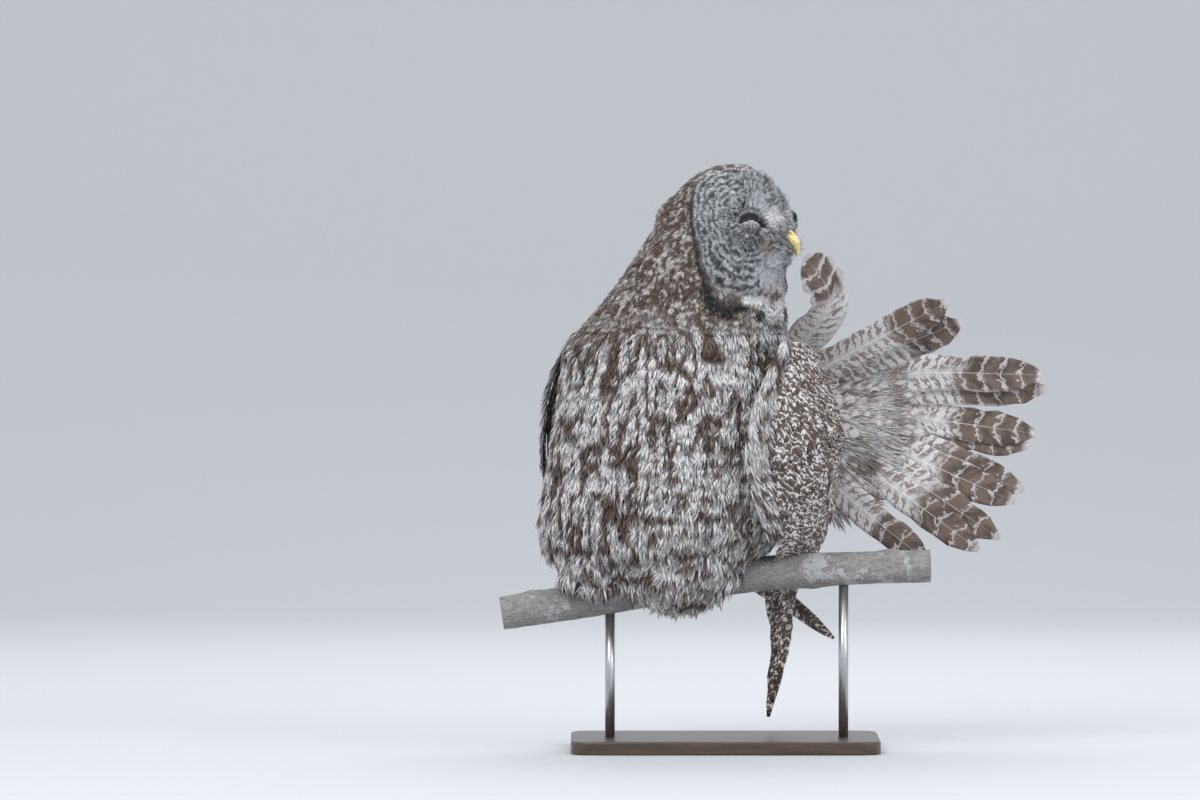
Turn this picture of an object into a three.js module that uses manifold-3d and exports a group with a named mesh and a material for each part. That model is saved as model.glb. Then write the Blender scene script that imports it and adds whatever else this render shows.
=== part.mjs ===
// A great grey owl, life size, as a still museum model. It sits on a short cut branch with its head
// turned back, draws the outermost tail feather to its bill and fans the rest of its tail.
// Millimetres, +Z up. The origin is the centre of the base's underside. A viewer at -Y sees the
// owl's breast, with the folded left wing and the fanned tail on the right, at +X.

import * as THREE from "three";
import { mergeVertices } from "three/addons/utils/BufferGeometryUtils.js";
import Module from "manifold-3d";

const wasm = await Module();
wasm.setup();

// Gap kept between solids that touch.
const GAP = 0.3;

// Edges that bend a surface by less than this are left out of the solids.
const SIMPLIFY = 0.12;

// Stand: a flat base and two rods that carry the branch.
const BASE = { length: 370, depth: 230, height: 16, corner: 26, bevel: 2 };
const ROD = { radius: 6, x: [-138, 142] };

// Branch: its centre line from the left cut end to the right one, and its radius along it.
const BRANCH_LINE = [
  [-268, -17, 165], [-198, -15, 175], [-126, -15, 187], [-42, -15, 200],
  [52, -15, 213], [162, -14, 219], [246, -12, 221],
];
const BRANCH_RADIUS = [20, 20.5, 21, 21, 21.5, 20.5, 20];
const KNOT_OUT = 15;
const BRANCH_KNOTS = [
  { along: 0.09, turn: 2.2, size: 11 },
  { along: 0.9, turn: 1.2, size: 10 },
];

// Torso: level, centre and half widths of its plumage, from below the hood down to the belly.
const TORSO_SECTIONS = [
  { z: 480, x: -62, y: 6, wide: 140, deep: 112 },
  { z: 468, x: -56, y: 5, wide: 147, deep: 119 },
  { z: 420, x: -54, y: 4, wide: 155, deep: 130 },
  { z: 372, x: -53, y: 3, wide: 163, deep: 134 },
  { z: 324, x: -57, y: 2, wide: 167, deep: 135 },
  { z: 276, x: -68, y: 0, wide: 160, deep: 130 },
  { z: 240, x: -82, y: -2, wide: 144, deep: 116 },
  { z: 222, x: -88, y: -3, wide: 122, deep: 92 },
  { z: 212, x: -92, y: -4, wide: 82, deep: 56 },
];

// Hood: the deep plumage of neck and nape, from the head down over the shoulders.
const HOOD_SECTIONS = [
  { z: 668, x: -8, y: 8, wide: 56, deep: 58 },
  { z: 645, x: -15, y: 8, wide: 71, deep: 72 },
  { z: 614, x: -22, y: 8, wide: 82, deep: 84 },
  { z: 582, x: -26, y: 8, wide: 100, deep: 92 },
  { z: 552, x: -33, y: 8, wide: 114, deep: 100 },
  { z: 524, x: -43, y: 8, wide: 128, deep: 108 },
  { z: 500, x: -54, y: 7, wide: 139, deep: 115 },
  { z: 483, x: -58, y: 6, wide: 146, deep: 119 },
];

// Head: its centre, the way that the face looks, and half sizes of the ball of plumage.
const HEAD = {
  centre: [10, -3, 620], yaw: -34, pitch: 9,
  forward: 78, back: 84, side: 88, up: 86,
  disc: { wide: 46, tall: 62, dish: 8, rim: 4 },
};
const EYE = { radius: 13, out: 40, up: 6, sink: 9, lid: 1.8, slit: 1.1 };

// Bill: shaft points in the head's frame, as forward and up, with half heights and half widths.
const UPPER_BILL = [
  { forward: 56, up: -12, tall: 9, wide: 8.5 },
  { forward: 70, up: -12.5, tall: 9, wide: 8 },
  { forward: 80, up: -17, tall: 7.5, wide: 6.5 },
  { forward: 86.5, up: -25, tall: 5.5, wide: 4.4 },
  { forward: 88, up: -33, tall: 3.4, wide: 2.5 },
  { forward: 86.5, up: -40, tall: 1, wide: 0.8 },
];
const LOWER_BILL = [
  { forward: 56, up: -29, tall: 4.5, wide: 6.8 },
  { forward: 68, up: -29.5, tall: 4, wide: 6.2 },
  { forward: 76, up: -31.5, tall: 3, wide: 4.6 },
  { forward: 81, up: -33.5, tall: 1.1, wide: 1.8 },
];
const BILL_BACK = 3;
const BILL_POINT = 1;
const NOSTRIL = { forward: 72, up: -9, side: 7.6, radius: 1.8 };

// Legs: lobes of thigh plumage, the right one on the branch and the left one hanging before it.
const LEGS = {
  right: { foot: -96, lobes: [[-150, -34, 238, 62, 62, 50], [-112, -20, 232, 40, 40, 36]] },
  left: { foot: 0, lobes: [[-54, -62, 236, 74, 46, 64], [-6, -40, 246, 46, 44, 40]] },
};
const SHANK = [
  { back: 4, up: 84, radius: 24 },
  { back: 2, up: 56, radius: 21 },
  { back: 0, up: 36, radius: 17 },
];
const FOOT_PAD = { from: 26, to: 34, radii: [15, 13] };
const FOOT_POCKET = { front: 7, up: 14, size: [36, 52, 44] };
// A toe lies this far from the branch's centre, plus its own radius. Angles are in radians.
const TOE = { seat: 22.5, radius: 8, claw: 3.6, clawGap: 0.17, clawLength: 0.72 };
const TOES = [
  { side: -15, front: true, reach: 1.5 },
  { side: 4, front: true, reach: 1.65 },
  { side: 19, front: true, reach: 1.35 },
  { side: 2, front: false, reach: 1.4 },
];

// Wings: the centre line of each folded wing from shoulder to tip, with the turn of its outer face
// round the body, half its breadth, and how tightly it curves round the body.
const LEFT_WING = {
  rear: 1,
  line: [
    { at: [80, -46, 484], turn: 30, half: 36, curve: 130 },
    { at: [93, -64, 422], turn: 38, half: 74, curve: 142 },
    { at: [100, -70, 360], turn: 41, half: 87, curve: 150 },
    { at: [100, -50, 300], turn: 37, half: 76, curve: 150 },
    { at: [94, -8, 244], turn: 46, half: 48, curve: 160 },
    { at: [69, 30, 192], turn: 58, half: 29, curve: 220 },
    { at: [70, 48, 120], turn: 68, half: 20, curve: 260 },
    { at: [56, 62, 34], turn: 70, half: 9, curve: 300 },
  ],
};
const RIGHT_WING = {
  rear: -1,
  line: [
    { at: [-158, 80, 482], turn: 212, half: 36, curve: 120 },
    { at: [-176, 90, 420], turn: 216, half: 66, curve: 135 },
    { at: [-168, 110, 360], turn: 226, half: 78, curve: 140 },
    { at: [-128, 136, 306], turn: 246, half: 68, curve: 140 },
    { at: [-70, 149, 266], turn: 268, half: 46, curve: 160 },
    { at: [-2, 146, 228], turn: 280, half: 32, curve: 220 },
    { at: [66, 124, 184], turn: 288, half: 24, curve: 260 },
    { at: [136, 98, 130], turn: 290, half: 12, curve: 300 },
  ],
};

// Tail: the apex that the fan spreads from and each rectrix's tip, with points that bend it.
const TAIL_ROOT = [52, 112, 408];
const TAIL_CUTS = { upper: 49, lower: 21 };
const RUMP_SECTIONS = [
  { x: 8, y: 92, z: 398, deep: 40, tall: 42 },
  { x: 50, y: 106, z: 398, deep: 42, tall: 54 },
  { x: 90, y: 112, z: 384, deep: 36, tall: 74 },
  { x: 130, y: 113, z: 364, deep: 27, tall: 92 },
  { x: 172, y: 112, z: 350, deep: 15, tall: 98 },
  { x: 206, y: 111, z: 344, deep: 5, tall: 86 },
];
const RECTRICES = [
  { node: "tail_upper", bend: [[88, 78, 478], [126, 22, 538]], tip: [96, -28, 594], half: 29, face: 0.5 },
  { node: "tail_middle", bend: [[140, 74, 468]], tip: [266, -18, 538], half: 22, face: 0.3 },
  { node: "tail_middle", bend: [[150, 88, 458]], tip: [284, 6, 514], half: 23, face: 0.25 },
  { node: "tail_lower", bend: [[215, 104, 448]], tip: [386, 84, 448], half: 23, face: 0.1 },
  { node: "tail_lower", bend: [[215, 111, 432]], tip: [390, 98, 430], half: 23, face: 0.05 },
  { node: "tail_lower", bend: [[210, 117, 398]], tip: [379, 108, 376], half: 22, face: 0 },
  { node: "tail_lower", bend: [[210, 120, 390]], tip: [370, 112, 361], half: 22, face: 0 },
  { node: "tail_lower", bend: [[200, 116, 370]], tip: [363, 110, 307], half: 22, face: 0 },
  { node: "tail_lower", bend: [[196, 112, 360]], tip: [352, 104, 294], half: 22, face: -0.05 },
  { node: "tail_lower", bend: [[186, 107, 345]], tip: [334, 98, 250], half: 21, face: -0.1 },
  { node: "tail_lower", bend: [[178, 102, 330]], tip: [308, 90, 236], half: 21, face: -0.15 },
  { node: "tail_lower", bend: [[150, 96, 300]], tip: [246, 78, 222], half: 20, face: -0.2 },
];

// Tail coverts: tiers under the tail, on the viewer's side at -1, and over it, at 1. Each fans
// between two angles and leaves the rectrices by the given depths at root, middle and tip.
const COVERT_HALF = 18;
const TAIL_COVERTS = [
  { side: -1, count: 6, from: 24, to: -50, start: 60, reach: 196, depths: [4, 12, 12] },
  { side: -1, count: 5, from: 26, to: -54, start: 40, reach: 148, depths: [10, 24, 19] },
  { side: -1, count: 4, from: 24, to: -50, start: 24, reach: 104, depths: [20, 35, 29] },
  { side: 1, count: 4, from: 18, to: -56, start: 50, reach: 166, depths: [4, 16, 16] },
];

const COLOURS = {
  wood: 0x4a3a2e, steel: 0x8f9296, bark: 0x8d8984, breast: 0xa39c98, hood: 0x6b5d55,
  face: 0x8f9499, bill: 0xd9c04a, eye: 0x1c1a18, foot: 0xb2aaa4, claw: 0x242122,
  wing: 0x54463f, tail: 0x9c9088,
};

// A small generator of even draws from 0 to 1, the same on every run.
function seeded(seed) {
  let state = seed >>> 0;
  return () => {
    state = (Math.imul(state, 1664525) + 1013904223) >>> 0;
    return state / 4294967296;
  };
}

const vec = (p) => new THREE.Vector3(p[0], p[1], p[2]);
const radians = THREE.MathUtils.degToRad;

// A closed geometry from rows of points that run round a form, capped at its two end points.
function skinOver(rows, first, last) {
  const round = rows[0].length;
  const points = [first, ...rows.flat(), last];
  const faces = [];
  for (let j = 0; j < round; j++) {
    const next = (j + 1) % round;
    faces.push(0, 1 + next, 1 + j);
    for (let i = 0; i < rows.length - 1; i++) {
      const a = 1 + i * round + j;
      const b = 1 + i * round + next;
      faces.push(a, b, a + round, b, b + round, a + round);
    }
    const end = 1 + (rows.length - 1) * round;
    faces.push(end + j, end + next, points.length - 1);
  }
  const geometry = new THREE.BufferGeometry().setFromPoints(points);
  geometry.setIndex(faces);
  return geometry;
}

function solidOf(geometry, tolerance = 1e-4) {
  const plain = geometry.clone();
  plain.deleteAttribute("normal");
  plain.deleteAttribute("uv");
  const merged = mergeVertices(plain, tolerance);
  const solid = new wasm.Manifold(new wasm.Mesh({
    numProp: 3,
    vertProperties: merged.attributes.position.array,
    triVerts: new Uint32Array(merged.index.array),
  }));
  if (solid.volume() > 0) return solid;
  const turned = Uint32Array.from(merged.index.array);
  for (let i = 0; i < turned.length; i += 3) {
    [turned[i + 1], turned[i + 2]] = [turned[i + 2], turned[i + 1]];
  }
  return new wasm.Manifold(new wasm.Mesh({
    numProp: 3,
    vertProperties: merged.attributes.position.array,
    triVerts: turned,
  }));
}

function joined(solids) {
  return solids.reduce((all, one) => all.add(one));
}

function without(solid, cutters) {
  return cutters.reduce((left, cutter) => left.subtract(cutter), solid);
}

// The largest closed surface of a solid. It drops loose scraps, fills sealed hollows and leaves out
// edges too small to matter.
function largest(solid) {
  const pick = (one) => one.decompose().reduce((a, b) => (b.volume() > a.volume() ? b : a));
  const plain = pick(solid).simplify(SIMPLIFY);
  return pick(solidOf(geometryOf(plain), 1e-3));
}

function geometryOf(solid) {
  const mesh = solid.getMesh();
  const positions = new Float32Array(mesh.numVert * 3);
  for (let i = 0; i < mesh.numVert; i++) {
    positions.set(mesh.vertProperties.subarray(i * mesh.numProp, i * mesh.numProp + 3), i * 3);
  }
  return new THREE.BufferGeometry()
    .setAttribute("position", new THREE.BufferAttribute(positions, 3))
    .setIndex(new THREE.BufferAttribute(mesh.triVerts, 1));
}

// Smooth values between a few listed sections: pick(section) gives the three numbers to blend.
function blended(sections, pick) {
  const curve = new THREE.CatmullRomCurve3(sections.map((s) => vec(pick(s))), false, "catmullrom", 0.5);
  return (t) => curve.getPoint(t);
}

// A body lofted through level, oval sections.
function levelLoft(sections, { round, rows, grow = 0 }) {
  const centre = blended(sections, (s) => [s.x, s.y, s.z]);
  const size = blended(sections, (s) => [s.wide, s.deep, 0]);
  const rings = [];
  for (let i = 0; i <= rows; i++) {
    const c = centre(i / rows);
    const s = size(i / rows);
    rings.push(Array.from({ length: round }, (_, j) => {
      const turn = (2 * Math.PI * j) / round;
      const [x, y] = [(s.x + grow) * Math.cos(turn), (s.y + grow) * Math.sin(turn)];
      return new THREE.Vector3(c.x + x, c.y + y, c.z);
    }));
  }
  const [top, bottom] = [centre(0), centre(1)];
  const rise = new THREE.Vector3(0, 0, grow * Math.sign(top.z - bottom.z));
  return solidOf(skinOver(rings, top.add(rise), bottom.sub(rise)));
}

// A tapering round body along a line of points, with rounded ends.
function taperedTube(line, radii, { sides, steps, grow = 0, up = [0, 0, 1] }) {
  const path = new THREE.CatmullRomCurve3(line.map(vec), false, "catmullrom", 0.5);
  const size = blended(radii.map((r) => ({ r })), (s) => [s.r, 0, 0]);
  const rings = [];
  for (let i = 0; i <= steps; i++) {
    const along = path.getTangent(i / steps);
    const side = new THREE.Vector3().crossVectors(vec(up), along).normalize();
    const top = new THREE.Vector3().crossVectors(along, side);
    const r = size(i / steps).x + grow;
    rings.push(Array.from({ length: sides }, (_, j) => {
      const turn = (2 * Math.PI * j) / sides;
      return path.getPoint(i / steps)
        .addScaledVector(side, r * Math.cos(turn))
        .addScaledVector(top, r * Math.sin(turn));
    }));
  }
  const first = path.getPoint(0).addScaledVector(path.getTangent(0), -0.5 * radii[0] - grow);
  const last = path.getPoint(1).addScaledVector(path.getTangent(1), 0.5 * radii.at(-1) + grow);
  return solidOf(skinOver(rings, first, last));
}

function ellipsoid([x, y, z, a, b, c], grow = 0) {
  const geometry = new THREE.SphereGeometry(1, 12, 8);
  geometry.rotateX(Math.PI / 2);
  geometry.scale(a + grow, b + grow, c + grow);
  geometry.translate(x, y, z);
  return solidOf(geometry);
}

// Stand

function standBase() {
  const halfLength = BASE.length / 2 - BASE.bevel;
  const halfDepth = BASE.depth / 2 - BASE.bevel;
  const r = BASE.corner;
  const outline = new THREE.Shape();
  outline.absarc(halfLength - r, halfDepth - r, r, 0, Math.PI / 2);
  outline.absarc(r - halfLength, halfDepth - r, r, Math.PI / 2, Math.PI);
  outline.absarc(r - halfLength, r - halfDepth, r, Math.PI, 1.5 * Math.PI);
  outline.absarc(halfLength - r, r - halfDepth, r, 1.5 * Math.PI, 2 * Math.PI);
  const geometry = new THREE.ExtrudeGeometry(outline, {
    depth: BASE.height - 2 * BASE.bevel,
    bevelThickness: BASE.bevel,
    bevelSize: BASE.bevel,
    bevelSegments: 2,
    curveSegments: 3,
  });
  geometry.translate(0, 0, BASE.bevel);
  return solidOf(geometry);
}

function branch(grow = 0) {
  const limb = taperedTube(BRANCH_LINE, BRANCH_RADIUS, { sides: 10, steps: 11, grow });
  const path = new THREE.CatmullRomCurve3(BRANCH_LINE.map(vec));
  const knots = BRANCH_KNOTS.map(({ along, turn, size }) => {
    const out = new THREE.Vector3(0, -Math.sin(turn), Math.cos(turn));
    const at = path.getPoint(along).addScaledVector(out, KNOT_OUT);
    return ellipsoid([at.x, at.y, at.z, size * 1.3, size, size], grow);
  });
  return joined([limb, ...knots]);
}

function branchCentreAt(x) {
  const path = new THREE.CatmullRomCurve3(BRANCH_LINE.map(vec), false, "catmullrom", 0.5);
  let [low, high] = [0, 1];
  for (let i = 0; i < 30; i++) {
    const middle = (low + high) / 2;
    if (path.getPoint(middle).x < x) low = middle;
    else high = middle;
  }
  return path.getPoint(low);
}

function rod(x) {
  const centre = branchCentreAt(x);
  const from = BASE.height + GAP;
  const geometry = new THREE.CylinderGeometry(ROD.radius, ROD.radius, centre.z - from, 14);
  geometry.rotateX(Math.PI / 2);
  geometry.translate(x, centre.y, (centre.z + from) / 2);
  return largest(solidOf(geometry).subtract(branch(GAP)));
}

// Head

function headAxes() {
  const yaw = radians(HEAD.yaw);
  const pitch = radians(HEAD.pitch);
  const forward = new THREE.Vector3(
    Math.cos(yaw) * Math.cos(pitch), Math.sin(yaw) * Math.cos(pitch), Math.sin(pitch));
  const left = new THREE.Vector3(0, 0, 1).cross(forward).normalize();
  return { forward, left, up: new THREE.Vector3().crossVectors(forward, left) };
}

const AXES = headAxes();

// A point of the head's frame, as forward, left and up, in the owl's own frame.
function inHead(forward, left, up) {
  return vec(HEAD.centre)
    .addScaledVector(AXES.forward, forward)
    .addScaledVector(AXES.left, left)
    .addScaledVector(AXES.up, up);
}

function eyeDirection(side) {
  const out = radians(EYE.out);
  const up = radians(EYE.up);
  return new THREE.Vector3(Math.cos(out) * Math.cos(up), side * Math.sin(out) * Math.cos(up), Math.sin(up));
}

// How far a direction lies from the middle of one half of the face: 0 at the eye, 1 at the rim.
function discOffset(direction, side) {
  const eye = eyeDirection(side);
  const turn = Math.atan2(direction.y, direction.x) - Math.atan2(eye.y, eye.x);
  const across = Math.atan2(Math.sin(turn), Math.cos(turn)) * Math.hypot(direction.x, direction.y);
  const climb = Math.asin(direction.z) - Math.asin(eye.z);
  return Math.hypot(across / radians(HEAD.disc.wide), climb / radians(HEAD.disc.tall));
}

// How far the plumage of the head reaches along a direction of its own frame. Each half of the face
// is a shallow dish round its eye, with a raised rim.
function headReach(direction) {
  const along = direction.x > 0 ? HEAD.forward : HEAD.back;
  const oval = 1 / Math.hypot(direction.x / along, direction.y / HEAD.side, direction.z / HEAD.up);
  let change = 0;
  for (const side of [-1, 1]) {
    const off = discOffset(direction, side);
    if (off < 1 && side * direction.y >= 0) change = -HEAD.disc.dish * (1 - off * off);
    if (side * direction.y >= 0) change += HEAD.disc.rim * Math.exp(-(((off - 1.02) / 0.11) ** 2));
  }
  const brow = Math.exp(-((direction.y / 0.16) ** 2)) * Math.max(0, direction.x);
  return oval + change * (1 - brow) + 2.5 * brow;
}

function head(grow = 0) {
  const [round, rows] = [24, 16];
  const at = (turn, tilt) => {
    const [side, up] = [Math.sin(tilt) * Math.cos(turn), Math.sin(tilt) * Math.sin(turn)];
    const direction = new THREE.Vector3(Math.cos(tilt), side, up);
    return inHead(...direction.multiplyScalar(headReach(direction) + grow).toArray());
  };
  const rings = Array.from({ length: rows }, (_, i) =>
    Array.from({ length: round }, (_, j) => at((2 * Math.PI * j) / round, (Math.PI * (i + 1)) / (rows + 1))));
  return solidOf(skinOver(rings, at(0, 0), at(0, Math.PI)));
}

function billHalf(shaft, grow = 0) {
  const sides = 12;
  const rings = shaft.map(({ forward, up, tall, wide }, i) => {
    const before = shaft[Math.max(0, i - 1)];
    const after = shaft[Math.min(shaft.length - 1, i + 1)];
    const along = new THREE.Vector2(after.forward - before.forward, after.up - before.up).normalize();
    return Array.from({ length: sides }, (_, j) => {
      const turn = (2 * Math.PI * j) / sides;
      const rise = (tall + grow) * Math.sin(turn);
      return inHead(forward - along.y * rise, (wide + grow) * Math.cos(turn), up + along.x * rise);
    });
  });
  const [first, last] = [shaft[0], shaft.at(-1)];
  const back = inHead(first.forward - BILL_BACK - grow, 0, first.up);
  const point = inHead(last.forward, 0, last.up - BILL_POINT - grow);
  return solidOf(skinOver(rings, back, point));
}

function eyeCentre(side) {
  const direction = eyeDirection(side);
  const reach = headReach(direction) - EYE.sink;
  return inHead(...direction.multiplyScalar(reach).toArray());
}

function ball(centre, radius, detail = 2) {
  const geometry = new THREE.IcosahedronGeometry(radius, detail);
  geometry.translate(centre.x, centre.y, centre.z);
  return solidOf(geometry);
}

// Closed lids: a shell over the eyeball, parted by the thin slit between upper and lower lid.
function lids(side) {
  const centre = eyeCentre(side);
  const slit = new THREE.BoxGeometry(EYE.radius * 2.4, EYE.radius * 1.9, EYE.slit);
  slit.translate(EYE.radius * 1.2, 0, 0);
  const out = side * EYE.out;
  const frame = new THREE.Matrix4().makeBasis(AXES.forward, AXES.left, AXES.up).setPosition(centre);
  slit.applyMatrix4(new THREE.Matrix4().makeRotationZ(radians(out)));
  slit.applyMatrix4(frame);
  return without(ball(centre, EYE.radius + EYE.lid), [ball(centre, EYE.radius + GAP), solidOf(slit)]);
}

const billUpper = () => {
  const nostrils = [-1, 1].map((side) => {
    const mouth = inHead(NOSTRIL.forward, side * NOSTRIL.side, NOSTRIL.up);
    return ball(mouth, NOSTRIL.radius, 1);
  });
  return without(billHalf(UPPER_BILL), nostrils);
};

const billLower = () => largest(without(billHalf(LOWER_BILL), [billHalf(UPPER_BILL, GAP)]));

function headNode() {
  const sockets = [-1, 1].map((side) => ball(eyeCentre(side), EYE.radius + GAP));
  const open = without(head(), [billHalf(UPPER_BILL, GAP), billHalf(LOWER_BILL, GAP), ...sockets]);
  return largest(joined([open, lids(-1), lids(1)]));
}

// Legs and feet

// A toe follows the round of the branch. Its angle starts at the top and grows towards its tip.
function toeLine(footX, toe, from, to, clear) {
  const count = 7;
  return Array.from({ length: count }, (_, i) => {
    const angle = from + ((to - from) * i) / (count - 1);
    const x = footX + toe.side * Math.min(1, 0.35 + 0.65 * (angle / toe.reach));
    const centre = branchCentreAt(x);
    const reach = TOE.seat + clear;
    const y = centre.y + (toe.front ? -1 : 1) * reach * Math.sin(angle);
    return [x, y, centre.z + reach * Math.cos(angle)];
  });
}

// The room that the body leaves round a foot.
function footPocket(footX) {
  const centre = branchCentreAt(footX);
  const [y, z] = [centre.y - FOOT_POCKET.front, centre.z + FOOT_POCKET.up];
  return ellipsoid([footX, y, z, ...FOOT_POCKET.size]);
}

function foot(footX, grow = 0) {
  const centre = branchCentreAt(footX);
  const pad = taperedTube(
    [[footX, centre.y, centre.z + FOOT_PAD.from], [footX, centre.y, centre.z + FOOT_PAD.to]],
    FOOT_PAD.radii, { sides: 6, steps: 1, grow, up: [1, 0, 0] });
  const toes = TOES.map((toe) => taperedTube(
    toeLine(footX, toe, 0.05, toe.reach, TOE.radius + 0.5),
    [TOE.radius, TOE.radius, TOE.radius * 0.95, TOE.radius * 0.75],
    { sides: 6, steps: 4, grow, up: [1, 0, 0] }));
  return joined([pad, ...toes]).subtract(branch(GAP + 0.2));
}

function claw(footX, toe, grow = 0) {
  const from = toe.reach + TOE.clawGap;
  return taperedTube(
    toeLine(footX, toe, from, from + TOE.clawLength, TOE.claw + 1.4),
    [TOE.claw, TOE.claw * 0.85, TOE.claw * 0.6, 0.5],
    { sides: 5, steps: 3, grow, up: [1, 0, 0] });
}

function legShape(leg, grow = 0) {
  const centre = branchCentreAt(leg.foot);
  const shank = taperedTube(
    SHANK.map(({ back, up }) => [leg.foot, centre.y + back, centre.z + up]),
    SHANK.map(({ radius }) => radius), { sides: 12, steps: 3, grow, up: [1, 0, 0] });
  return joined([shank, ...leg.lobes.map((lobe) => ellipsoid(lobe, grow))]);
}

function legNode(leg, cutters) {
  return largest(without(legShape(leg), [branch(GAP), ...cutters]));
}

// Feathers

// One feather: a thin blade either side of a raised shaft, or a plain board where it has no shaft.
// at(along, across, lift) gives a point of it. Both faces are split into triangles alike.
const VANE = [[0, 0.35], [0.25, 0.85], [0.65, 1], [0.92, 0.68], [1, 0.18]];
const LONG_VANE = [
  [0, 0.2], [0.14, 0.42], [0.3, 0.75], [0.48, 1], [0.66, 1], [0.82, 0.86], [0.94, 0.55], [1, 0.15],
];
const SHORT_VANE = [[0, 0.5], [0.45, 1], [0.86, 0.72], [1, 0.22]];

function vane({ at, inner, outer, shape = VANE, edge = 0.6, shaft = 0 }) {
  const rows = shape.map(([along, share]) => {
    const ridge = shaft * (1 - 0.5 * along);
    const row = [[-inner * share, edge / 2], [0, ridge / 2], [outer * share, edge / 2]];
    const face = shaft ? row : [row[0], row[2]];
    const back = face.map(([across, lift]) => [across, -lift]).reverse();
    return [...face, ...back].map(([across, lift]) => at(along, across, lift));
  });
  const count = rows[0].length;
  const faces = [];
  for (let i = 0; i < rows.length - 1; i++) {
    for (let k = 0; k < count; k++) {
      const [a, b] = [i * count + k, i * count + ((k + 1) % count)];
      const turned = k >= count / 2;
      if (turned) faces.push(a, b, a + count, b, b + count, a + count);
      else faces.push(a, b, b + count, a, b + count, a + count);
    }
  }
  const last = (rows.length - 1) * count;
  for (let k = 0; k < count / 2 - 1; k++) {
    const ring = [k, k + 1, count - 2 - k, count - 1 - k];
    faces.push(ring[0], ring[2], ring[1], ring[0], ring[3], ring[2]);
    const [p, q, r, t] = ring.map((n) => n + last);
    faces.push(p, q, r, p, r, t);
  }
  const geometry = new THREE.BufferGeometry().setFromPoints(rows.flat());
  geometry.setIndex(faces);
  return solidOf(geometry);
}

// The outer surface of a folded wing. across runs from -1 at its front edge to 1 at its rear edge,
// along from 0 at the shoulder to 1 at the tip, and lift is the height above the surface.
function wingSheet(wing) {
  const centre = blended(wing.line, (s) => s.at);
  const shape = blended(wing.line, (s) => [s.turn, s.half, s.curve]);
  const sheet = (across, along, lift) => {
    const down = Math.min(1.02, Math.max(0, along));
    const c = centre(Math.min(1, down));
    const s = shape(Math.min(1, down));
    const turn = radians(s.x);
    const out = new THREE.Vector3(Math.cos(turn), -Math.sin(turn), 0);
    const lie = centre(Math.min(1, down + 0.01)).sub(centre(Math.max(0, down - 0.01))).normalize();
    const rear = new THREE.Vector3().crossVectors(out, lie).multiplyScalar(wing.rear).normalize();
    const face = new THREE.Vector3().crossVectors(lie, rear).multiplyScalar(wing.rear).normalize();
    const swing = (across * s.y) / s.z;
    return c.addScaledVector(rear, (s.z + lift) * Math.sin(swing))
      .addScaledVector(face, (s.z + lift) * Math.cos(swing) - s.z);
  };
  const length = new THREE.CatmullRomCurve3(wing.line.map((s) => vec(s.at))).getLength();
  return { sheet, length, halfAt: (along) => shape(Math.min(1, Math.max(0, along))).y };
}

// The core that the wing's feathers root in: thick at the shoulder, thin where the last tier leaves.
function wingCore({ sheet }, { to, under, over, round = 10, rows = 3, spread = 0.88 }) {
  const middle = to / 2;
  const heights = { top: (down) => over * (1 - down / to) + 1, bottom: () => -under };
  const faceRings = (height) => Array.from({ length: rows }, (_, i) => {
    const out = (i + 1) / rows;
    const share = Math.sqrt(Math.max(0.03, 1 - (0.96 * out) ** 4));
    return Array.from({ length: round }, (_, j) => {
      const turn = (2 * Math.PI * j) / round;
      const down = middle * (1 + out * Math.sin(turn));
      return sheet(spread * out * Math.cos(turn), down, share * height(down));
    });
  });
  const rings = [...faceRings(heights.top), ...faceRings(heights.bottom).reverse()];
  return solidOf(skinOver(rings, sheet(0, middle, heights.top(middle)), sheet(0, middle, -under)));
}

// Levels along a wing where every feather that crosses one has a row of points, so that feathers
// at different heights follow the same bends and stay clear of each other.
const WING_LEVELS = [0.09, 0.18, 0.29, 0.4, 0.5, 0.6, 0.72, 0.85];
const ROW_CLEAR = 0.08;

// A feather that lies on a wing's sheet from its root to its tip, each as [across, along]. Its tilt
// lets the next one lie partly under it.
function wingFeather({ sheet, length, halfAt }, { root, tip, half, lift, tilt, blunt, shaft }) {
  const at = (along, across, up) => {
    const u = THREE.MathUtils.lerp(root[0], tip[0], along);
    const v = THREE.MathUtils.lerp(root[1], tip[1], along);
    const breadth = halfAt(v);
    const run = new THREE.Vector2((tip[0] - root[0]) * breadth, (tip[1] - root[1]) * length).normalize();
    return sheet(u + (across * run.y) / breadth, v - (across * run.x) / length, lift + up + tilt * across);
  };
  const span = tip[1] - root[1];
  const levels = WING_LEVELS.map((v) => (v - root[1]) / span)
    .filter((along) => along > ROW_CLEAR && along < blunt - ROW_CLEAR);
  const widening = (along) => Math.min(1, 0.4 + 2.2 * along);
  const shape = [[0, 0.4], ...levels.map((along) => [along, widening(along)]), [blunt, 0.8], [1, 0.2]];
  return vane({ at, inner: half, outer: half, shape, shaft });
}

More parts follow.
